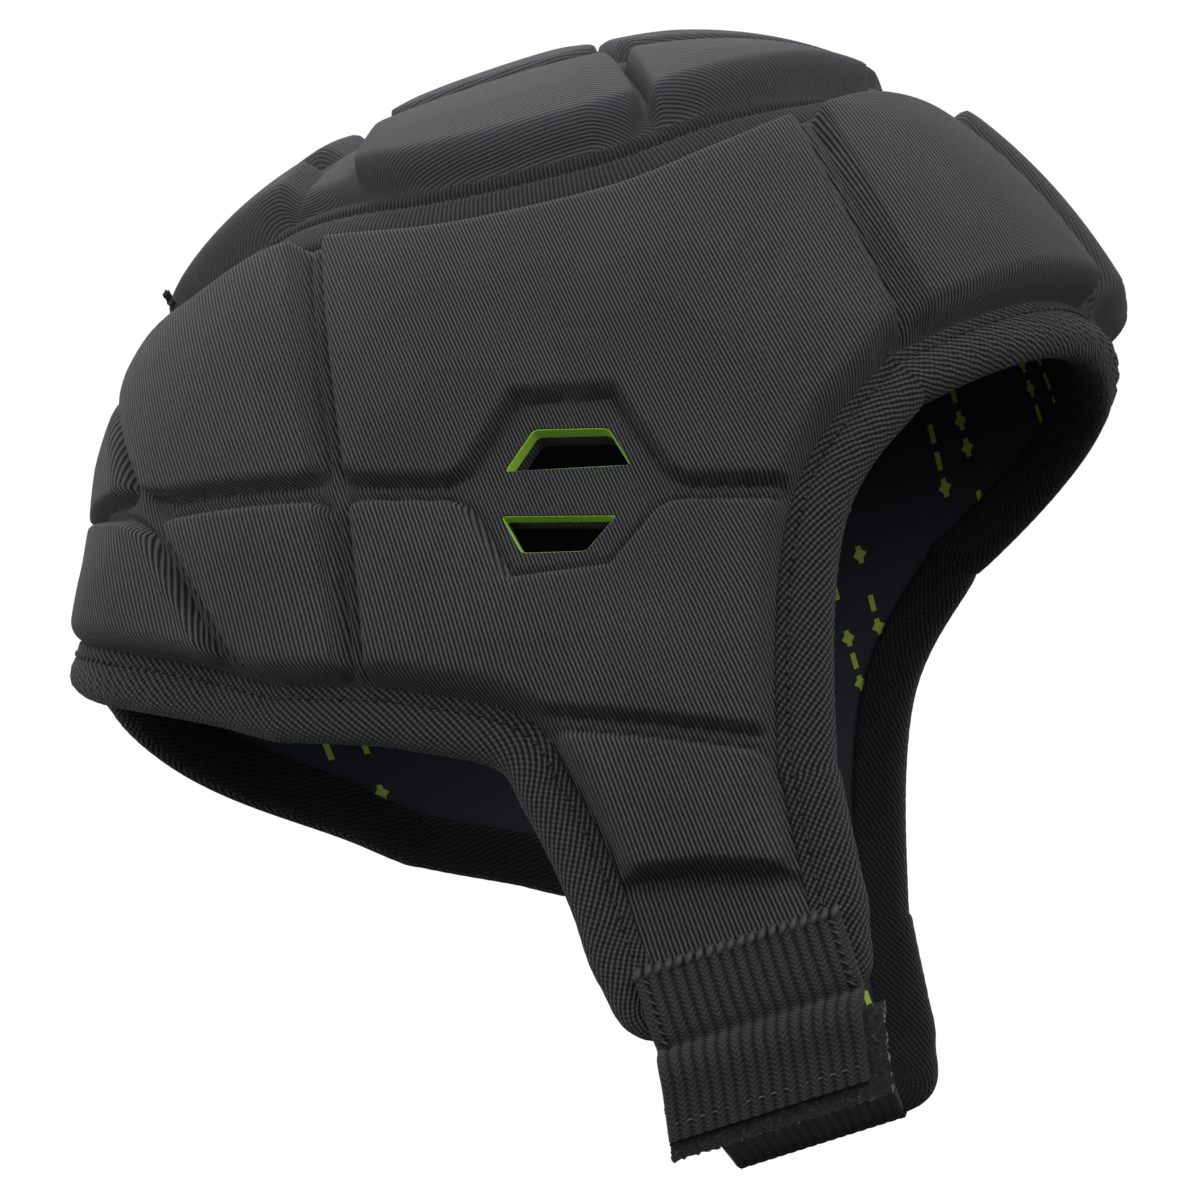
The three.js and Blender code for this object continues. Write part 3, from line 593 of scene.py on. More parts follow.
def edit_all(piece, *steps):
    """Run mesh tools one after the other on all of a piece"""
    pick(piece)
    bpy.ops.object.mode_set(mode="EDIT")
    for step in steps:
        bpy.ops.mesh.select_all(action="SELECT")
        step()
    bpy.ops.object.mode_set(mode="OBJECT")


def turn_outwards():
    bpy.ops.mesh.normals_make_consistent(inside=False)


def merge_within(gap):
    return lambda: bpy.ops.mesh.remove_doubles(threshold=gap)


def thicken(piece):
    """Extrude a flat sheet into a closed slab one unit thick"""
    up = {"value": (0, 0, 1)}
    edit_all(piece, lambda: bpy.ops.mesh.extrude_region_move(TRANSFORM_OT_translate=up), turn_outwards)


def grid_cells(points, columns, rows):
    """Column and row of each point of a flat sheet"""
    return np.rint(points[:, :2] * (columns, rows)).astype(int).T


def get_points(piece):
    points = np.empty(len(piece.data.vertices) * 3)
    piece.data.vertices.foreach_get("co", points)
    return points.reshape(-1, 3)


def set_points(piece, points):
    piece.data.vertices.foreach_set("co", np.ascontiguousarray(points, np.float32).ravel())
    piece.data.update()


def set_weave(piece, across, along):
    """Keep a flat place in mm for each corner, which the cloth patterns follow"""
    corners = np.empty(len(piece.data.loops), int)
    piece.data.loops.foreach_get("vertex_index", corners)
    layer = piece.data.uv_layers[0] if piece.data.uv_layers else piece.data.uv_layers.new()
    layer.name = "weave"
    layer.data.foreach_set("uv", np.column_stack((across, along))[corners].astype(np.float32).ravel())


def close_up(piece, gap):
    """Merge doubled points, close open ends and turn all faces outwards"""
    edit_all(piece, merge_within(gap), lambda: bpy.ops.mesh.fill_holes(sides=0), turn_outwards)


def finish_piece(piece, material, nodes, slot, smooth_angle=STRAP_ANGLE):
    pick(piece)
    bpy.ops.object.shade_smooth_by_angle(angle=np.radians(smooth_angle))
    piece.data.materials.clear()
    piece.data.materials.append(material)
    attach(piece, "root")
    if nodes:
        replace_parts(piece, *nodes)
    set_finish(piece, slot)


def other_side(piece, name):
    """A copy of a right-hand piece for the left, with a mesh of its own"""
    pick(piece)
    bpy.ops.object.duplicate()
    copy = bpy.context.object
    copy.name = copy.data.name = name
    set_points(copy, get_points(copy) * (-1, 1, 1))
    edit_all(copy, bpy.ops.mesh.flip_normals)
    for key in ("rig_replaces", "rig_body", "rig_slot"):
        if key in copy:
            del copy[key]
    return copy


def finish_pair(piece, material, nodes, slot, smooth_angle=STRAP_ANGLE):
    """Finish a right-hand piece, and a copy of it for the left"""
    finish_piece(piece, material, nodes, slot, smooth_angle)
    left = other_side(piece, piece.name.replace("right", "left"))
    finish_piece(left, material, [node.replace("right", "left") for node in nodes], slot, smooth_angle)
    return left


def panel_columns(cell):
    """Lower ends and seam places of the columns of a side panel, and numbers of its named ones"""
    knots = list(range(FLAP_REAR + 1)) + list(range(FLAP_FRONT, len(OUTLINE)))
    seams = NECK_SEAM + FACE_SEAM
    lows, alongs, marks = [], [], {}
    for first, second, seam, next_seam in zip(knots[:-1], knots[1:], seams[:-1], seams[1:]):
        count = max(int(np.linalg.norm(OUTLINE[second] - OUTLINE[first]) / cell), 1)
        shares = np.arange(count) / count
        marks[first] = sum(map(len, lows))
        if second - first > 1:
            lows.append(OUTLINE[first] + (OUTLINE[second] - OUTLINE[first]) * shares[:, None])
        else:
            lows.append(through(OUTLINE, first + shares))
        alongs.append(seam + (next_seam - seam) * shares)
    marks[knots[-1]] = sum(map(len, lows))
    return np.vstack((*lows, OUTLINE[-1:])), np.r_[tuple(alongs) + (seams[-1],)], marks


def panel_sheet(name, cell):
    """Flat pattern of a side panel, body and flap in one sheet"""
    lows, alongs, marks = panel_columns(cell)
    tops = seam_in_pattern(alongs, SEAM_GAP)
    body = flat_grid(name, len(lows) - 1, int(PANEL_ROWS_MM / cell))
    points = get_points(body)
    number = np.rint(points[:, 0] * (len(lows) - 1)).astype(int)
    share = points[:, 1:2]
    low, top = lows[number], tops[number]
    flat = low + (top - low) * share
    length = np.linalg.norm(low, axis=1)[:, None] * (1 - share) + np.linalg.norm(top, axis=1)[:, None] * share
    at_back = (1 - smooth(number, 0, marks[REAR_GROOVE]))[:, None]
    flat = flat * (1 - at_back) + unit(flat) * length * at_back
    first_column = number == 0
    flat[first_column] = unit(flat[first_column]) * BACK_REACH
    at_front = np.clip((number - marks[FRONT_GROOVE]) / (len(lows) - 1 - marks[FRONT_GROOVE]), 0, 1)[:, None]
    edge = seam_in_pattern(BRIM_ALONG + (FOREHEAD_ALONG - BRIM_ALONG) * points[:, 1], SEAM_GAP)
    flat += (edge - lows[-1] - (tops[-1] - lows[-1]) * share) * at_front
    set_points(body, np.column_stack((flat, points[:, 2])))

    columns = marks[FLAP_FRONT] - marks[FLAP_REAR]
    flap = flat_grid(name + "_flap", columns, int(FLAP_ROWS_MM / cell))
    points = get_points(flap)
    across = points[:, :1]
    down = 1 - points[:, 1:2]
    root = lows[marks[FLAP_REAR] + np.rint(points[:, 0] * columns).astype(int)]
    bottom = through(OUTLINE, FLAP_REAR_LOW + points[:, 0])
    rear = through(OUTLINE, FLAP_REAR + down[:, 0] * (FLAP_REAR_LOW - FLAP_REAR))
    front = through(OUTLINE, FLAP_FRONT - down[:, 0] * (FLAP_FRONT - FLAP_FRONT_LOW))
    corners = (OUTLINE[FLAP_REAR] * (1 - across) * (1 - down) + OUTLINE[FLAP_FRONT] * across * (1 - down)
               + OUTLINE[FLAP_REAR_LOW] * (1 - across) * down + OUTLINE[FLAP_FRONT_LOW] * across * down)
    flat = root * (1 - down) + bottom * down + rear * (1 - across) + front * across - corners
    set_points(flap, np.column_stack((flat, points[:, 2])))

    pick(body)
    flap.select_set(True)
    bpy.ops.object.join()
    edit_all(body, merge_within(MERGE_PATTERN))
    thicken(body)
    cut_vents(body)
    return body


def cut_vents(piece):
    """Cut both vents through the flat slab"""
    for corners in VENTS.values():
        outline = rounded(corners)[::-1]
        deselect_all()
        bpy.ops.mesh.primitive_cylinder_add(vertices=len(outline), depth=4)
        cutter = bpy.context.object
        points = get_points(cutter)
        turn = np.arctan2(points[:, 1], points[:, 0]) / (2 * np.pi) * len(outline)
        set_points(cutter, np.column_stack((outline[np.rint(turn).astype(int) % len(outline)], points[:, 2])))
        close_up(cutter, MERGE_CUTTER)
        pick(piece)
        hole = piece.modifiers.new("vent", "BOOLEAN")
        hole.operation = "DIFFERENCE"
        hole.solver = "EXACT"
        hole.object = cutter
        bpy.ops.object.modifier_apply(modifier=hole.name)
        bpy.data.objects.remove(cutter)


def back_line():
    """Edge of a side panel's pattern down the middle of the back"""
    top = seam_in_pattern(np.array(NECK_SEAM[:1]), 0)[0]
    turn = np.linspace(np.arctan2(top[1], top[0]), np.arctan2(OUTLINE[0][1], OUTLINE[0][0]), BACK_STEPS)
    return BACK_REACH * np.column_stack((np.cos(turn), np.sin(turn)))


def outline_line():
    return through(OUTLINE, np.linspace(OUTLINE_START, len(OUTLINE) - 1, OUTLINE_STEPS))


def seam_ledge(along):
    """Width of the flat ledge on a side panel beside the crown seam"""
    front = smooth(along, *TAPE_NARROWS)
    back = smooth(-along, *TAPE_BACK)
    return SEAM_LEDGE + (FOREHEAD_LEDGE - SEAM_LEDGE) * front + (SEAM_LEDGE_BACK - SEAM_LEDGE) * back


def panel_height(flat):
    seam = seam_in_pattern(np.linspace(NECK_SEAM[0], BRIM_ALONG, SEAM_STEPS), SEAM_GAP)
    along = np.degrees(np.arctan2(flat[:, 0], flat[:, 1]))
    back = EDGE_LEDGE + (BACK_LEDGE - EDGE_LEDGE) * smooth(flat[:, 1], *BACK_LEDGE_LEVEL)
    seam_floor = groove_floor() * smooth(along, *TAPE_NARROWS)
    outline = line_distance(flat, outline_line())
    seat = field_distance(flat, STRAP_SEAT)
    edges = [
        (line_distance(flat, back_line()), back, SHOULDER, 0),
        (outline, EDGE_LEDGE, SHOULDER, 0),
        (line_distance(flat, seam), seam_ledge(along), SEAM_SHOULDER, seam_floor),
        (seat, 0, SEAT_SHOULDER, 0),
    ]
    grooves = [field_distance(flat, VENT_FIELD)]
    fade = GROOVE_FADE * smooth(-flat[:, 0], *GROOVE_FADE_BACK) - GROOVE_HALF
    grooves += [line_distance(flat, groove) + fade for groove in PAD_GROOVES]
    height = pad_height(edges, grooves)
    crease = SEAT_CREASE * bell(seat, -SEAT_CREASE_HALF, SEAT_CREASE_HALF)
    height -= crease * np.minimum(outline / EDGE_LEDGE, 1) ** SEAT_CREASE_FADE
    drop = NAPE_DROP * smooth(-flat[:, 0], *NAPE_DROP_BACK) * (1 - smooth(flat[:, 1], *NAPE_DROP_LEVEL))
    return EDGE_TOP + (height - EDGE_TOP) * (1 - drop / (bpy.context.scene.helmet_sizes.pad_top - EDGE_TOP))


def rib_place(flat):
    """Place across the ribs of a side panel, with the cloth's slack over the sides of its upright grooves"""
    level = np.maximum(flat[:, 1], RIB_LEVEL)
    place = flat[:, 0] * (1 + RIB_LEAN_FORWARD * level) + flat[:, 1] * (RIB_LEAN + RIB_LEAN_UP * level)
    for start, end in PAD_GROOVES[:UPRIGHT_GROOVES]:
        run = unit(end - start)
        aside = (flat - start) @ np.array((run[1], -run[0]))
        reach = smooth(np.abs(aside) - GROOVE_HALF, 0, GROOVE_SHOULDER)
        place = place + GROOVE_SLACK * np.sign(aside) * reach
    return place


def crown_place(points):
    """Row, degrees along and degrees across of the crown at points of a flat sheet"""
    first = CROWN_SEAM[0, 0] + CROWN_START_GAP
    row = first + (BRIM_ALONG - first) * points[:, 1]
    share = 2 * points[:, 0] - 1
    pinch = np.interp(row, CROWN_PINCH[:, 0], CROWN_PINCH[:, 1])
    along = row + pinch * np.clip(1 - CROWN_PINCH_FALL * np.abs(share), 0, CROWN_PINCH_MOST)
    rear_gap = CROWN_REAR_GAP * smooth(-along, 0, CROWN_REAR_EASE)
    seam = seam_across(np.where(along < 0, along - rear_gap, along))
    return row, along, share * (seam - SEAM_GAP / CROWN_MM)


def crown_height(row, along, across):
    on_tongue = smooth(along, *TONGUE)
    ledge = CROWN_LEDGE + (TONGUE_LEDGE - CROWN_LEDGE) * on_tongue
    ledge = ledge + (CROWN_LEDGE_BACK - CROWN_LEDGE) * smooth(-along, *CROWN_BACK)
    half = seam_across(along) * CROWN_MM - ledge
    flat = np.column_stack((np.abs(across), along)) * CROWN_MM
    seam = line_distance(flat, SEAM_LINE[:, ::-1] * CROWN_MM)
    brim = (BRIM_ALONG - along) * CROWN_MM
    edges = [
        (seam, ledge, CROWN_SHOULDER, groove_floor() * on_tongue),
        (brim, BRIM_LEDGE, SHOULDER, 0),
    ]
    off_tongue = PAD_CORNER * on_tongue - GROOVE_HALF
    grooves = [np.abs(flat[:, 0] - at * half) + off_tongue for at in CROWN_COLUMN_GROOVES]
    grooves += [(np.abs(row - at) - wide) * CROWN_MM for at, wide in CROWN_ROW_GROOVES]
    rise = TONGUE_RISE * on_tongue * smooth(brim, 0, BRIM_LEDGE + SHOULDER)
    return pad_height(edges, grooves) + rise


def crown_ribs(piece, columns, rows, spots):
    """Distance of each crown point from the middle, measured over the pads to keep the ribs' spacing"""
    points = get_points(piece) / MM
    column, row = grid_cells(spots, columns, rows)
    top = np.empty((rows + 1, columns + 1, 3))
    upper = spots[:, 2] > 0.5
    top[row[upper], column[upper]] = points[upper]
    steps = np.linalg.norm(np.diff(top, axis=1), axis=2)
    reach = np.column_stack((np.zeros(rows + 1), np.cumsum(steps, axis=1)))
    reach -= reach[:, columns // 2][:, None]
    return evened(reach, RIB_EVENING, RIB_EVENING / 2)[row, column]


def inward_of(path):
    """Feet of a path on the head form, and directions to its inner side"""
    feet, normals = head_surface(path)
    run = evened(np.gradient(feet, axis=0), RUN_EVENING, RUN_SPREAD)
    return feet, unit(np.cross(normals, run))


def beside(path, width, height):
    """Points in mm beside a path, and outward directions there"""
    feet, inward = inward_of(path)
    places = unit(feet + inward * width)
    points = on_head(places, np.full(len(path), height))
    return points, unit(on_head(places, np.full(len(path), height + 1)) - points)


def ribbon(name, path, profiles):
    """Closed strip swept along directions from the head's centre, with a loop of width and height at each"""
    profiles = np.asarray(profiles, float)
    count, size = profiles.shape[:2]
    piece = flat_grid(name, count - 1, size)
    points = get_points(piece)
    step, corner = grid_cells(points, count - 1, size)
    feet, inward = inward_of(path)
    width, height = profiles[step, corner % size].T
    set_points(piece, on_head(unit(feet[step] + inward[step] * width[:, None]), height) * MM)
    sides = np.linalg.norm(np.roll(profiles, -1, axis=1) - profiles, axis=2)
    around = np.column_stack((np.zeros(count), np.cumsum(sides, axis=1)))
    set_weave(piece, lengths_along(feet)[step], around[step, corner])
    close_up(piece, MERGE)
    return piece


def bound_path():
    """Directions along the whole bound edge, right side first"""
    right = pattern_direction(np.vstack((back_line(), outline_line())))
    across = np.linspace(-1, 1, BRIM_STEPS)[1:-1] * seam_across(BRIM_ALONG)
    brim = crown_direction(np.full(len(across), BRIM_ALONG), across)
    path = np.vstack((right, brim, right[::-1] * (-1, 1, 1)))
    feet, _ = head_surface(path)
    return unit(evenly(feet, 1))


def binding_profiles(path):
    """Loops of the folded edge tape: narrow down the back, gathered at the brim, creased at the nape"""
    full_width = bpy.context.scene.helmet_sizes.binding_width
    feet, _ = head_surface(path)
    lengths = lengths_along(feet)
    from_end = np.minimum(lengths, lengths[-1] - lengths)
    back = lengths_along(head_surface(pattern_direction(back_line()))[0])[-1]
    profiles = []
    for length, end in zip(lengths, from_end):
        brim = bell(length, lengths[-1] / 2, GATHER_REACH)
        nape = bell(end, back - CREASE_BACK, CREASE_REACH)
        gather = GATHER * brim * (0.5 + 0.5 * np.sin(2 * np.pi * length / GATHER_SPACING))
        gather = gather + RIPPLE * np.sin(2 * np.pi * length / RIPPLE_SPACING)
        crease = nape * sum(rise * np.sin(length / wave + shift) for rise, wave, shift in CREASES)
        crease = crease + LUMP * bell(end, back - LUMP_BACK, LUMP_REACH)
        widening = smooth(end, back - TAPE_WIDENS[0], back - TAPE_WIDENS[1])
        width = TAPE_BACK_WIDTH + (full_width - TAPE_BACK_WIDTH) * widening
        raised = 1 + gather + 0.5 * crease
        outer = [
            (width, 4.9), (width - 0.4, 5.3), (width * 0.83, 5.4 + 0.3 * crease), (width * 0.74, 5.35),
            (width * 0.66, 5.7 + 0.3 * gather), (width * 0.5, 4.6 + 1.5 * raised),
            (width * 0.3, 4.6 + 1.7 * raised), (width * 0.13, 4.6 + 1.5 * raised),
            (0, 5.4 + 0.5 * gather), (-0.9, 4.4), (-1.5 - 0.3 * gather, 3.2), (-1.6 - 0.3 * gather, 2),
        ]
        inner = [
            (-1.4, 0.8), (-0.8, -0.4), (0.2, -1.3), (1.4, -1.8), (width * 0.35, -2), (width * 0.67, -2),
            (width * 0.88, -1.8), (width, -1.2), (width, -0.2),
        ]
        profiles.append([(width, 4.4)] + outer + inner)
    return profiles


def seam_tape_profile(along):
    """Loop of a seam tape, creased over the seam and sunk at its front end"""
    narrow = smooth(along, *TAPE_NARROWS)
    panel = TAPE_ON_PANEL[0] * (1 - narrow) + TAPE_ON_PANEL[1] * narrow
    crown = TAPE_ON_CROWN[0] * (1 - narrow) + TAPE_ON_CROWN[1] * narrow
    loop = np.array((
        (-panel, TAPE_FOOT), (crown, TAPE_FOOT), (crown, 5), (crown * 0.85, 5.6), (crown * 0.5, 6),
        (crown * 0.22, 5.8), (0, 4.5), (-panel * 0.11, 5.8), (-panel * 0.3, 6.1), (-panel * 0.6, 6.1),
        (-panel * 0.88, 5.8), (-panel, 5.1),
    ))
    loop[:, 1] = TAPE_FOOT + (loop[:, 1] - TAPE_FOOT) * (1 - TAPE_SINK * smooth(along, *TAPE_SINKS))
    return loop


def tape_end_piece(name):
    """Frayed end of tape that stands up from the right seam and bends over"""
    random = np.random.default_rng(3)
    wide, long, thick = TAPE_END_SIZE
    piece = flat_grid(name, *TAPE_END_CELLS)
    thicken(piece)
    points = get_points(piece)
    root = crown_direction(np.array([TAPE_END_ALONG]), -seam_across(np.array([TAPE_END_ALONG])))
    foot = on_head(root, np.array([TAPE_END_FOOT]))
    out = unit(on_head(root, np.array([TAPE_END_FOOT + 1])) - foot)
    fray = random.uniform(-TAPE_END_FRAY, TAPE_END_FRAY, (len(points), 3)) * smooth(points[:, 1:2], 0.5, 1)
    place = foot + out * points[:, 1:2] * long + np.array((wide, 0, 0)) * (points[:, :1] - 0.5)
    place = place + np.cross(out, (1, 0, 0)) * (points[:, 2:] * thick - TAPE_END_BEND * points[:, 1:2] ** 2)
    set_points(piece, (place + fray) * MM)
    set_weave(piece, points[:, 1] * long, points[:, 0] * wide)
    return piece


def sew(name, line, ups, stitch, lean=0):
    """Row of stitches along a line in mm, one modelled and the others copied from it"""
    spacing, size = stitch
    lengths = lengths_along(line)
    count = max(int(lengths[-1] / spacing), 1)
    wanted = (np.arange(count) + 0.5) * lengths[-1] / count
    places = at_lengths(line, lengths, wanted)
    up = unit(at_lengths(ups, lengths, wanted))
    run = unit(at_lengths(np.gradient(line, axis=0), lengths, wanted))
    turned = run * np.cos(lean) + unit(np.cross(up, run)) * np.sin(lean)
    sideways = unit(np.cross(up, turned))
    deselect_all()
    bpy.ops.mesh.primitive_uv_sphere_add(segments=6, ring_count=4, radius=0.5)
    first = bpy.context.object
    first.name = first.data.name = name
    shape = get_points(first) * size
    stitches = [first]
    for _ in range(count - 1):
        copy = first.copy()
        copy.data = first.data.copy()
        bpy.context.collection.objects.link(copy)
        stitches.append(copy)
    for i, stitch in enumerate(stitches):
        set_points(stitch, (places[i] + shape @ np.array((turned[i], sideways[i], up[i]))) * MM)
        stitch.select_set(True)
    bpy.context.view_layer.objects.active = first
    bpy.ops.object.join()
    return first


def strap_rows(side, run, width, spacing):
    """Middle layer of a strap as rows of points with their lengths, and the length where its patch ends"""
    sizes = bpy.context.scene.helmet_sizes
    sway = STRAP_LEFT_BACK * (side > 0)
    up = STRAP_PATCH[:, 0] + HEAD_UP + STRAP_LEFT_UP * (side > 0)
    patch_sway = sway * smooth(-STRAP_PATCH[:, 0], *STRAP_SWAY_LEVEL)
    run_sway = sway * np.clip((run[:, 0] + STRAP_SWAY_FROM) / STRAP_SWAY_OVER, 0, 1)
    run_sway = run_sway + STRAP_DRIFT * (STRAP_FALL - run[:, 1])
    lines = []
    for place in width:
        y = STRAP_MIDDLE_Y + sizes.strap_width * place
        sewn_y = y + patch_sway
        rest = (np.abs(sewn_y / np.where(sewn_y < 0, HEAD_FRONT, HEAD_REAR)) ** HEAD_ROUNDNESS
                + np.abs(up / np.where(up > 0, HEAD_UP, HEAD_DOWN)) ** HEAD_ROUNDNESS)
        x = side * HEAD_HALF_WIDTH * (1 - rest) ** (1 / HEAD_ROUNDNESS)
        sewn = on_head(unit(np.column_stack((x, sewn_y, up))), STRAP_PATCH[:, 1])
        lines.append(np.vstack((sewn, np.column_stack((run[:, 0], y + run_sway, run[:, 1])))))
    lengths = lengths_along(lines[len(lines) // 2])
    wanted = np.linspace(0, lengths[-1], int(lengths[-1] / spacing) + 1)
    places = np.interp(wanted, lengths, np.arange(len(lengths)))
    return np.stack([through(line, places) for line in lines], axis=1), wanted, lengths[len(STRAP_PATCH) - 1]


def strap_normals(rows, side):
    return unit(np.cross(np.gradient(rows, axis=0), np.gradient(rows, axis=1)) * side)


def strap_piece(name, side, run, cord_rise):
    """A length of webbing as a closed slab, corded on its outside and creased where its patch ends"""
    sizes = bpy.context.scene.helmet_sizes
    columns = CORD_COLUMNS * STRAP_CORDS
    width = np.linspace(-0.5, 0.5, columns + 1)
    rows, lengths, fall = strap_rows(side, run, width, STRAP_CELL)
    piece = flat_grid(name, columns, len(rows) - 1)
    thicken(piece)
    points = get_points(piece)
    column, row = grid_cells(points, columns, len(rows) - 1)
    normal = strap_normals(rows, side)
    cord = cord_rise * np.abs(np.sin(np.pi * STRAP_CORDS * (width + 0.5))) ** CORD_POWER
    selvedge = -SELVEDGE_DROP * smooth(np.abs(width), *SELVEDGE)
    crease = sum(rise * bell(lengths, fall + place, reach) for rise, place, reach in FALL_CREASES)
    outside = sizes.strap_thick + (cord + selvedge)[column] + crease[row]
    rise = np.where(points[:, 2] > 0.5, outside, -0.5 * selvedge[column])
    set_points(piece, (rows[row, column] + normal[row, column] * rise[:, None]) * MM)
    set_weave(piece, width[column] * sizes.strap_width, lengths[row])
    close_up(piece, MERGE)
    return piece, lengths[-1]


def pile_piece(name):
    """Fuzzy strip of the fastener, which shows past the end and the front of the right strap"""
    random = np.random.default_rng(7)
    width = np.linspace(*PILE_WIDTH, PILE_COLUMNS + 1)
    rows, lengths, _ = strap_rows(-1, PILE_RUN, width, PILE_CELL)
    first = np.searchsorted(lengths, PILE_START)
    rows = rows[first:]
    piece = flat_grid(name, PILE_COLUMNS, len(rows) - 1)
    thicken(piece)
    points = get_points(piece)
    column, row = grid_cells(points, PILE_COLUMNS, len(rows) - 1)
    normal = strap_normals(rows, -1)
    fuzz = random.uniform(-PILE_FUZZ, PILE_FUZZ, (len(points), 3))
    rise = np.where(points[:, 2] > 0.5, -PILE_UNDER, -PILE_UNDER - PILE_THICK)
    set_points(piece, (rows[row, column] + normal[row, column] * rise[:, None] + fuzz) * MM)
    close_up(piece, MERGE)
    return piece


def set_inputs(tree, node, inputs):
    """Give inputs of a node, by name or number, their values or links"""
    for name, value in inputs:
        if isinstance(value, bpy.types.NodeSocket):
            tree.links.new(value, node.inputs[name])
        else:
            node.inputs[name].default_value = value


def add_node(tree, kind, inputs=(), output=0, **settings):
    """Add a node with its settings and inputs, and return one of its outputs"""
    node = tree.nodes.new("ShaderNode" + kind)
    for name, value in settings.items():
        setattr(node, name, value)
    set_inputs(tree, node, inputs.items() if isinstance(inputs, dict) else enumerate(inputs))
    return node.outputs[output]


def ridge_scale(spacing):
    """Scale of a wave texture that has its ridges a distance apart, in mm"""
    return np.pi / (10 * spacing)


def new_material(name):
    material = bpy.data.materials.new(name)
    material.use_nodes = True
    return material, material.node_tree, material.node_tree.nodes["Principled BSDF"]


def weave_place(tree):
    """Flat place of a cloth in mm, and its two parts"""
    place = add_node(tree, "UVMap", uv_map="weave")
    parts = add_node(tree, "SeparateXYZ", (place,)).node.outputs
    return place, parts[0], parts[1]


def cloth_shader(tree, shader, height, span, low, high, relief, sheen=CLOTH_SHEEN):
    """Colour and bump of a cloth from the height of its yarns, the low colour being painted shade in the
    hollows between them
    """
    # The colour runs from the painted shade of the hollows to the yarns' own colour
    shade = add_node(tree, "MapRange", {"Value": height, "From Min": span[0], "From Max": span[1]})
    colour = add_node(tree, "Mix", {0: shade, 6: linear(low), 7: high}, 2, data_type="RGBA")
    bump = add_node(tree, "Bump", {"Strength": CLOTH_BUMP, "Distance": relief * MM, "Height": height})
    look = {
        "Base Color": colour, "Normal": bump, "Roughness": CLOTH_ROUGHNESS,
        "Specular IOR Level": CLOTH_SPECULAR, "Sheen Weight": sheen, "Sheen Roughness": SHEEN_ROUGHNESS,
    }
    set_inputs(tree, shader, look.items())


def knit_material(name, valley):
    """Ribbed polyester knit laminated on foam: matt black with fine lighter ribs, uneven as yarn is, and
    painted shade in the valleys
    """
    colours = bpy.context.scene.helmet_colours
    material, tree, shader = new_material(name)
    place, _, _ = weave_place(tree)
    ribs = ridge_scale(bpy.context.scene.helmet_sizes.rib_spacing)
    waves = {"Vector": place, "Scale": ribs, "Distortion": 0.35, "Detail": 1.0}
    rib = add_node(tree, "TexWave", waves, "Fac", bands_direction="X")
    yarn = add_node(tree, "TexNoise", {"Vector": place, "Scale": 1.3, "Detail": 3.0})
    worn = add_node(tree, "TexNoise", {"Vector": place, "Scale": 0.035, "Detail": 2.0})
    height = add_node(tree, "Math", (yarn, 0.6, rib), operation="MULTIPLY_ADD")
    height = add_node(tree, "Math", (worn, 0.4, height), operation="MULTIPLY_ADD")
    # The valley colour is painted shade between the ribs
    cloth_shader(tree, shader, height, (0.66, 1.5), valley, linear(colours.knit), 0.28)
    return material


def lining_marks(tree, place, forward, up):
    """Pairs of columns of small bars and diamonds, some of them left out"""
    scaled = add_node(tree, "VectorMath", (place, (*MARK_CELL, 1)), operation="DIVIDE")
    cell = add_node(tree, "VectorMath", (scaled,), operation="FLOOR")
    within = add_node(tree, "VectorMath", (scaled,), operation="FRACTION")
    middle = add_node(tree, "VectorMath", (within, (0.5, 0.5, 0)), operation="SUBTRACT")
    local = add_node(tree, "VectorMath", (middle, (*MARK_CELL, 0)), operation="MULTIPLY")
    parts = add_node(tree, "SeparateXYZ", (local,)).node.outputs
    side = add_node(tree, "Math", (parts[0],), operation="ABSOLUTE")
    rise = add_node(tree, "Math", (parts[1],), operation="ABSOLUTE")
    chance = add_node(tree, "TexWhiteNoise", {"Vector": cell}, "Value", noise_dimensions="2D")

    narrow = add_node(tree, "Math", (side, MARK_BAR[0]), operation="LESS_THAN")
    short = add_node(tree, "Math", (rise, MARK_BAR[1]), operation="LESS_THAN")
    bar = add_node(tree, "Math", (narrow, short), operation="MULTIPLY")
    has_bar = add_node(tree, "Math", (chance, MARK_BAR_CHANCE), operation="GREATER_THAN")
    bar = add_node(tree, "Math", (bar, has_bar), operation="MULTIPLY")
    reach = add_node(tree, "Math", (side, rise), operation="ADD")
    diamond = add_node(tree, "Math", (reach, MARK_DIAMOND), operation="LESS_THAN")
    has_diamond = add_node(tree, "Math", (chance, MARK_DIAMOND_CHANCE), operation="GREATER_THAN")
    diamond = add_node(tree, "Math", (diamond, has_diamond), operation="MULTIPLY")
    mark = add_node(tree, "Math", (bar, diamond), operation="MAXIMUM")

    column = add_node(tree, "SeparateXYZ", (cell,))
    column = add_node(tree, "Math", (column, MARK_COLUMNS), operation="FLOORED_MODULO")
    in_pair = add_node(tree, "Math", (column, LAST_MARK_COLUMN), operation="LESS_THAN")
    mark = add_node(tree, "Math", (mark, in_pair), operation="MULTIPLY")
    low = add_node(tree, "Math", (up, MARKS_TOP), operation="LESS_THAN")
    in_front = add_node(tree, "Math", (forward, MARKS_FRONT), operation="GREATER_THAN")
    printed = add_node(tree, "Math", (low, in_front), operation="MAXIMUM")
    return add_node(tree, "Math", (mark, printed), operation="MULTIPLY")


def lining_material():
    """Smooth brushed polyester: nearly black, with printed marks"""
    colours = bpy.context.scene.helmet_colours
    material, tree, shader = new_material("printed_lining")
    place, forward, up = weave_place(tree)
    ends = {0: lining_marks(tree, place, forward, up), 6: linear(colours.lining), 7: linear(colours.mark)}
    colour = add_node(tree, "Mix", ends, 2, data_type="RGBA")
    grain = add_node(tree, "TexNoise", {"Vector": place, "Scale": 2.5, "Detail": 3.0})
    bump = add_node(tree, "Bump", {"Strength": 0.4, "Distance": 0.2 * MM, "Height": grain})
    look = {"Base Color": colour, "Normal": bump, "Roughness": CLOTH_ROUGHNESS}
    set_inputs(tree, shader, look.items())
    return material


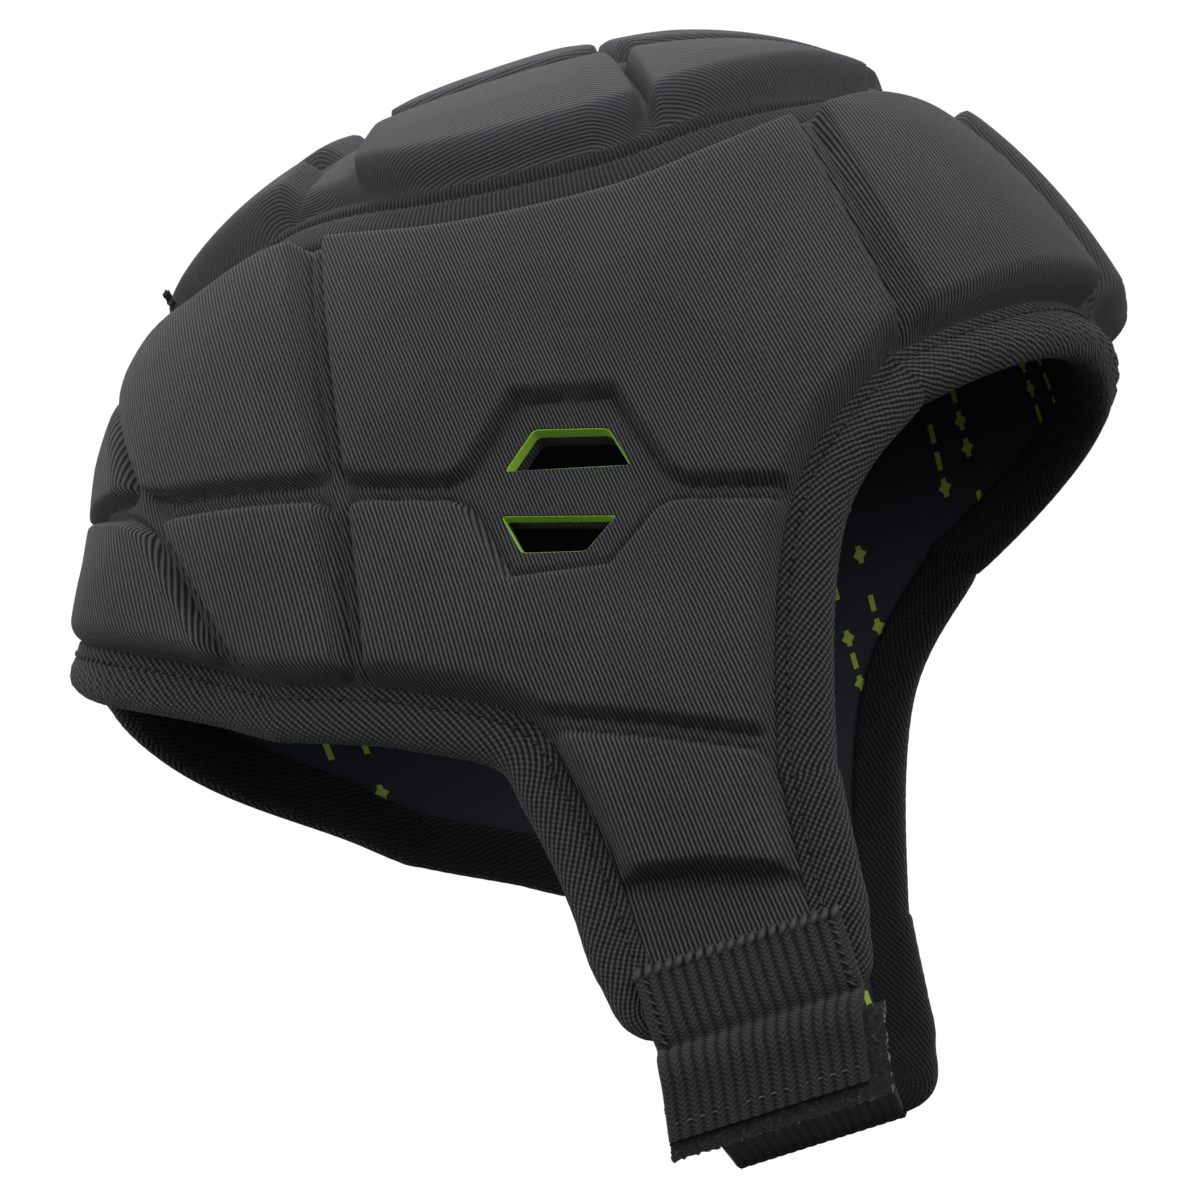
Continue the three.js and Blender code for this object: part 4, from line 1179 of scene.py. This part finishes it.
def binding_material():
    """Woven polyester tape: slanted ridges crossed by yarns, with painted shade between them, and a darker
    back on the inside
    """
    colours = bpy.context.scene.helmet_colours
    material, tree, shader = new_material("twill_tape")
    _, along, across = weave_place(tree)
    fold = add_node(tree, "Math", (across, TWILL_TURN), operation="PINGPONG")
    slant = add_node(tree, "Math", (fold, TWILL_SLANT, along), operation="MULTIPLY_ADD")
    counter = add_node(tree, "Math", (fold, -TWILL_SLANT / 2, along), operation="MULTIPLY_ADD")
    turned = add_node(tree, "CombineXYZ", (slant, counter))
    weave = {"Vector": turned, "Distortion": 0.5, "Detail": 1.0}
    twill = weave | {"Scale": ridge_scale(TWILL_SPACING)}
    yarns = weave | {"Scale": ridge_scale(YARN_SPACING)}
    ridge = add_node(tree, "TexWave", twill, "Fac", bands_direction="X")
    yarn = add_node(tree, "TexWave", yarns, "Fac", bands_direction="Y")
    height = add_node(tree, "Math", (yarn, 0.45, ridge), operation="MULTIPLY_ADD")
    inside = add_node(tree, "Math", (across, TAPE_FACE), operation="GREATER_THAN")
    ends = {0: inside, 6: linear(colours.binding), 7: linear(colours.binding_inside)}
    face = add_node(tree, "Mix", ends, 2, data_type="RGBA")
    cloth_shader(tree, shader, height, (0.55, 1.15), colours.binding_valley_painted_shade, face, 0.5)
    return material


def tape_material():
    """Ribbed seam tape: the knit's ribs run across it, closer and darker than on the pads, with painted shade
    between them
    """
    colours = bpy.context.scene.helmet_colours
    material, tree, shader = new_material("ribbed_seam_tape")
    place, _, _ = weave_place(tree)
    ribs = ridge_scale(TAPE_RIB_SPACING)
    waves = {"Vector": place, "Scale": ribs, "Distortion": 0.8, "Detail": 1.0}
    rib = add_node(tree, "TexWave", waves, "Fac", bands_direction="X")
    yarn = add_node(tree, "TexNoise", {"Vector": place, "Scale": 1.5, "Detail": 3.0})
    height = add_node(tree, "Math", (yarn, 0.6, rib), operation="MULTIPLY_ADD")
    cloth_shader(tree, shader, height, (0.4, 1.5), colours.binding_valley_painted_shade, linear(colours.tape), 0.3)
    return material


def webbing_material():
    """Woven polyester webbing: long cords with painted shade between them, and a fine chevron of yarns on
    each
    """
    colours = bpy.context.scene.helmet_colours
    material, tree, shader = new_material("corded_webbing")
    _, across, along = weave_place(tree)
    half_cord = bpy.context.scene.helmet_sizes.strap_width / STRAP_CORDS / 2
    cord = add_node(tree, "Math", (across, half_cord), operation="PINGPONG")
    slant = add_node(tree, "Math", (cord, 0.9, along), operation="MULTIPLY_ADD")
    turned = add_node(tree, "CombineXYZ", (slant, across))
    yarns = ridge_scale(WEBBING_YARN_SPACING)
    waves = {"Vector": turned, "Scale": yarns, "Distortion": 0.6, "Detail": 1.0}
    yarn = add_node(tree, "TexWave", waves, "Fac", bands_direction="X")
    # The cords darken towards their edges: painted shade between the cords
    share = add_node(tree, "Math", (cord, half_cord), operation="DIVIDE")
    fall = add_node(tree, "Math", (share, 4.0), operation="POWER")
    hump = add_node(tree, "Math", (1.0, fall), operation="SUBTRACT")
    height = add_node(tree, "Math", (yarn, 0.5, hump), operation="MULTIPLY_ADD")
    cloth_shader(tree, shader, height, (0.75, 1.45), colours.binding_valley_painted_shade, linear(colours.webbing), 0.4)
    return material


def pile_material():
    """Brushed loop pile: a felted tangle with no direction, matt with a soft edge"""
    colours = bpy.context.scene.helmet_colours
    material, tree, shader = new_material("brushed_pile")
    place = add_node(tree, "TexCoord", output="Object")
    fibres = {"Vector": place, "Scale": 1400.0, "Detail": 4.0, "Distortion": 1.5}
    tangle = add_node(tree, "TexNoise", fibres)
    # The low places of the tangle take the painted shade colour of the tapes' valleys
    low, high = colours.binding_valley_painted_shade, linear(colours.pile)
    cloth_shader(tree, shader, tangle, (0.3, 0.75), low, high, 0.5, PILE_SHEEN)
    return material


def grained_material(name, colour, roughness, scale, strength, relief):
    """Plain material with a fine grain, its relief in mm"""
    material, tree, shader = new_material(name)
    place = add_node(tree, "TexCoord", output="Object")
    grain = add_node(tree, "TexNoise", {"Vector": place, "Scale": scale, "Detail": 2.0})
    bump = add_node(tree, "Bump", {"Strength": strength, "Distance": relief * MM, "Height": grain})
    look = {"Base Color": linear(colour), "Normal": bump, "Roughness": roughness}
    set_inputs(tree, shader, look.items())
    return material


def thread_material(name, colour):
    """Polyester sewing thread, with a slight gloss on each stitch"""
    return grained_material(name, colour, 0.6, 2500.0, 0.4, 0.1)


def foam_material():
    """Cross-linked foam, die cut: even green with fine pores in the cut face"""
    return grained_material("cut_foam", bpy.context.scene.helmet_colours.foam, 0.8, 1500.0, 0.3, 0.2)


class HELMET_OT_side_panels(bpy.types.Operator):
    """Make both padded side panels"""

    bl_idname = "helmet.side_panels"
    bl_label = "Side Panels"

    def execute(self, context):
        piece = panel_sheet("panel_right", context.scene.helmet_sizes.cell)
        points = get_points(piece)
        flat = points[:, :2]
        height = np.where(points[:, 2] > 0.5, panel_height(flat), PANEL_INSIDE)
        set_points(piece, on_head(pattern_direction(flat), height) * MM)
        set_weave(piece, rib_place(flat), flat[:, 1])
        knit = knit_material("ribbed_knit", context.scene.helmet_colours.knit_valley_painted_shade)
        left = finish_pair(piece, knit, ["side_panel_right"], "knit", PAD_ANGLE)
        return {"FINISHED"}


class HELMET_OT_crown_panel(bpy.types.Operator):
    """Make the padded crown with its blocks and forehead tongue"""

    bl_idname = "helmet.crown_panel"
    bl_label = "Crown Panel"

    def execute(self, context):
        cell = context.scene.helmet_sizes.cell
        columns, rows = int(CROWN_WIDTH / cell / 2) * 2, int(CROWN_LENGTH / cell)
        piece = flat_grid("crown", columns, rows)
        thicken(piece)
        points = get_points(piece)
        row, along, across = crown_place(points)
        height = np.where(points[:, 2] > 0.5, crown_height(row, along, across), PANEL_INSIDE)
        set_points(piece, on_head(crown_direction(along, across), height) * MM)
        set_weave(piece, crown_ribs(piece, columns, rows, points), along * CROWN_MM)
        close_up(piece, MERGE_FINE)
        # The crown's knit is a copy of the side panels' knit with lighter painted shade in its valleys, which
        # paints the crown lighter
        knit = knit_material("crown_knit", context.scene.helmet_colours.crown_valley_painted_lighter)
        finish_piece(piece, knit, ["crown_panel"], "knit", PAD_ANGLE)
        return {"FINISHED"}


class HELMET_OT_linings(bpy.types.Operator):
    """Make the printed linings inside the pads"""

    bl_idname = "helmet.linings"
    bl_label = "Linings"

    def execute(self, context):
        cloth = lining_material()
        side = panel_sheet("side_lining_right", LINING_CELL)
        points = get_points(side)
        flat = points[:, :2]
        set_points(side, on_head(pattern_direction(flat), LINING_TOP * (points[:, 2] > 0.5)) * MM)
        set_weave(side, flat[:, 0], flat[:, 1])
        finish_pair(side, cloth, ["lining_right"], "lining")
        crown = flat_grid("crown_lining", *CROWN_LINING_CELLS)
        thicken(crown)
        points = get_points(crown)
        _, along, across = crown_place(points)
        set_points(crown, on_head(crown_direction(along, across), LINING_TOP * (points[:, 2] > 0.5)) * MM)
        set_weave(crown, across * CROWN_MM + CROWN_LINING_ASIDE, along * CROWN_MM)
        close_up(crown, MERGE_FINE)
        finish_piece(crown, cloth, ["lining_crown"], "lining")
        return {"FINISHED"}


class HELMET_OT_edge_binding(bpy.types.Operator):
    """Make the woven tape folded over the whole bound edge, its stitches and its cut end at the back"""

    bl_idname = "helmet.edge_binding"
    bl_label = "Edge Binding"

    def execute(self, context):
        path = bound_path()
        piece = ribbon("edge_tape", path, binding_profiles(path))
        tape = binding_material()
        finish_piece(piece, tape, ["edge_binding"], "binding", TAPE_ANGLE)
        lengths = lengths_along(head_surface(path)[0])
        back = lengths_along(head_surface(pattern_direction(back_line()))[0])[-1] + CREASE_BACK
        sewn = path[(lengths > back) & (lengths < lengths[-1] - back)]
        aside = context.scene.helmet_sizes.binding_width * EDGE_STITCH_PLACE
        stitches = sew("edge_stitches", *beside(sewn, aside, EDGE_STITCH_HEIGHT), EDGE_STITCH)
        thread = thread_material("dark_thread", context.scene.helmet_colours.thread)
        finish_piece(stitches, thread, [], "binding")
        finish_piece(tape_end_piece("tape_end"), tape, [], "binding")
        return {"FINISHED"}


class HELMET_OT_seam_tapes(bpy.types.Operator):
    """Make the ribbed tapes over both crown seams, with a row of stitches in the crease of each"""

    bl_idname = "helmet.seam_tapes"
    bl_label = "Seam Tapes"

    def execute(self, context):
        alongs = np.linspace(*SEAM_TAPE_ALONG, SEAM_TAPE_STEPS)
        path = crown_direction(alongs, -seam_across(alongs))
        tape = ribbon("seam_tape_right", path, [seam_tape_profile(along) for along in alongs])
        finish_pair(tape, tape_material(), ["crown_tape_right"], "binding", TAPE_ANGLE)
        line, ups = beside(path[alongs < SEAM_STITCH_END], 0, SEAM_STITCH_HEIGHT)
        stitches = sew("seam_stitches_right", line, ups, SEAM_STITCH)
        finish_pair(stitches, bpy.data.materials["dark_thread"], [], "binding")
        return {"FINISHED"}


class HELMET_OT_vent_foam(bpy.types.Operator):
    """Make the foam walls inside the vents"""

    bl_idname = "helmet.vent_foam"
    bl_label = "Vent Foam"

    def execute(self, context):
        foam = foam_material()
        for name, corners in VENTS.items():
            outline = rounded(corners)
            run = np.roll(outline, -1, axis=0) - np.roll(outline, 1, axis=0)
            inward = unit(np.column_stack((run[:, 1], -run[:, 0])))
            top = panel_height(outline) - FOAM_SUNK
            piece = flat_grid(f"vent_foam_{name}_right", len(outline), 4)
            points = get_points(piece)
            turn, layer = grid_cells(points, len(outline), 4)
            turn, layer = turn % len(outline), layer % 4
            drawn = np.where(layer < 2, FOAM_GAP, FOAM_GAP + FOAM_WALL)[:, None]
            height = np.where(np.isin(layer, (0, 3)), FOAM_BOTTOM, top[turn])
            set_points(piece, on_head(pattern_direction(outline[turn] + inward[turn] * drawn), height) * MM)
            close_up(piece, MERGE)
            finish_pair(piece, foam, [f"vent_liner_{name}_right"], "foam", FOAM_ANGLE)
        return {"FINISHED"}


class HELMET_OT_chin_strap(bpy.types.Operator):
    """Make both pieces of the webbing chin strap, the fastener's pile and the stitches"""

    bl_idname = "helmet.chin_strap"
    bl_label = "Chin Strap"

    def execute(self, context):
        webbing = webbing_material()
        sizes = context.scene.helmet_sizes
        for name, side, run, cord in (("right", -1, STRAP_RIGHT_RUN, 0.6), ("left", 1, STRAP_LEFT_RUN, 0.15)):
            piece, length = strap_piece(f"strap_{name}", side, run, cord)
            finish_piece(piece, webbing, [f"chin_strap_{name}"], "webbing")
        finish_piece(pile_piece("fastener_pile"), pile_material(), [], "webbing")
        thread = bpy.data.materials["dark_thread"]
        cord = thread_material("cord_thread", context.scene.helmet_colours.pile)
        pale = thread_material("pale_thread", context.scene.helmet_colours.binding)
        width = np.linspace(-0.5, 0.5, STITCH_COLUMNS)
        rows, lengths, fall = strap_rows(-1, STRAP_RIGHT_RUN, width, STRAP_CELL)
        normals = strap_normals(rows, -1)
        surface = rows + normals * (sizes.strap_thick + STITCH_RISE)
        patch = (lengths > BOX_START) & (lengths < fall)
        end = np.searchsorted(lengths, lengths[-1] - END_STITCH_PLACE)
        lines = {"overcast": (surface[1], normals[1], OVERCAST_STITCH, np.pi / 3, cord)}
        for place, column in BOX_COLUMNS.items():
            box = surface[patch, column]
            lines[f"box_{place}"] = (box, normals[patch, column], BOX_STITCH, np.pi / 4, thread)
        lines["end_line"] = (surface[end], normals[end], END_STITCH, 0, pale)
        for name, (line, ups, stitch, lean, material) in lines.items():
            finish_piece(sew(f"strap_{name}", line, ups, stitch, lean), material, [], "webbing")
        return {"FINISHED"}


class HELMET_OT_stage(bpy.types.Operator):
    """Make the floor, lights and camera"""

    bl_idname = "helmet.stage"
    bl_label = "Stage"

    def execute(self, context):
        deselect_all()
        bpy.ops.mesh.primitive_plane_add(size=FLOOR_SIZE, location=(0, 0, FLOOR_LEVEL))
        floor = context.object
        floor.name = "floor"
        paper, _, shader = new_material("grey_paper")
        shader.inputs["Base Color"].default_value = linear(context.scene.helmet_colours.floor)
        shader.inputs["Roughness"].default_value = 0.9
        floor.data.materials.append(paper)
        world = bpy.data.worlds.new("studio")
        world.use_nodes = True
        context.scene.world = world
        sky = world.node_tree.nodes["Background"]
        sky.inputs["Color"].default_value = (1, 1, 1, 1)
        sky.inputs["Strength"].default_value = 1
        for place, size, power in LIGHTS:
            bpy.ops.object.light_add(type="AREA", location=place)
            light = context.object
            light.data.size = size
            light.data.energy = power
            light.rotation_euler = (Vector(LIGHT_TARGET) - light.location).to_track_quat("-Z", "Y").to_euler()
        bpy.ops.object.camera_add(location=CAMERA_PLACE)
        camera = context.object
        camera.data.lens = CAMERA_LENS
        camera.data.sensor_width = SENSOR_WIDTH
        forward = (Vector(CAMERA_TARGET) - Vector(CAMERA_PLACE)).normalized()
        right = forward.cross(Vector((0, 0, 1))).normalized()
        up = right.cross(forward)
        rolled_right = right * np.cos(CAMERA_ROLL) - up * np.sin(CAMERA_ROLL)
        rolled_up = up * np.cos(CAMERA_ROLL) + right * np.sin(CAMERA_ROLL)
        camera.rotation_euler = Matrix((rolled_right, rolled_up, -forward)).transposed().to_euler()
        context.scene.camera = camera
        context.scene.view_settings.view_transform = "Standard"
        return {"FINISHED"}


class HELMET_PT_panel(bpy.types.Panel):
    """Buttons that make the helmet, piece by piece"""

    bl_idname = "HELMET_PT_panel"
    bl_label = "Soft Shell Helmet"
    bl_space_type = "VIEW_3D"
    bl_region_type = "UI"
    bl_category = "Helmet"

    def draw(self, context):
        for kind in PIECES:
            self.layout.operator(kind.bl_idname)
        for group in (context.scene.helmet_sizes, context.scene.helmet_colours):
            for name in group.__annotations__:
                self.layout.prop(group, name)


PIECES = (
    HELMET_OT_stage, HELMET_OT_side_panels, HELMET_OT_crown_panel, HELMET_OT_linings, HELMET_OT_edge_binding,
    HELMET_OT_seam_tapes, HELMET_OT_vent_foam, HELMET_OT_chin_strap,
)
CLASSES = (HelmetSizes, HelmetColours, *PIECES, HELMET_PT_panel)


def register():
    for kind in CLASSES:
        bpy.utils.register_class(kind)
    bpy.types.Scene.helmet_sizes = bpy.props.PointerProperty(type=HelmetSizes)
    bpy.types.Scene.helmet_colours = bpy.props.PointerProperty(type=HelmetColours)


def unregister():
    del bpy.types.Scene.helmet_colours
    del bpy.types.Scene.helmet_sizes
    for kind in reversed(CLASSES):
        bpy.utils.unregister_class(kind)


def main():
    register()
    bpy.ops.helmet.stage()
    bpy.ops.helmet.side_panels()
    bpy.ops.helmet.crown_panel()
    bpy.ops.helmet.linings()
    bpy.ops.helmet.edge_binding()
    bpy.ops.helmet.seam_tapes()
    bpy.ops.helmet.vent_foam()
    bpy.ops.helmet.chin_strap()


if __name__ == "__main__":
    main()
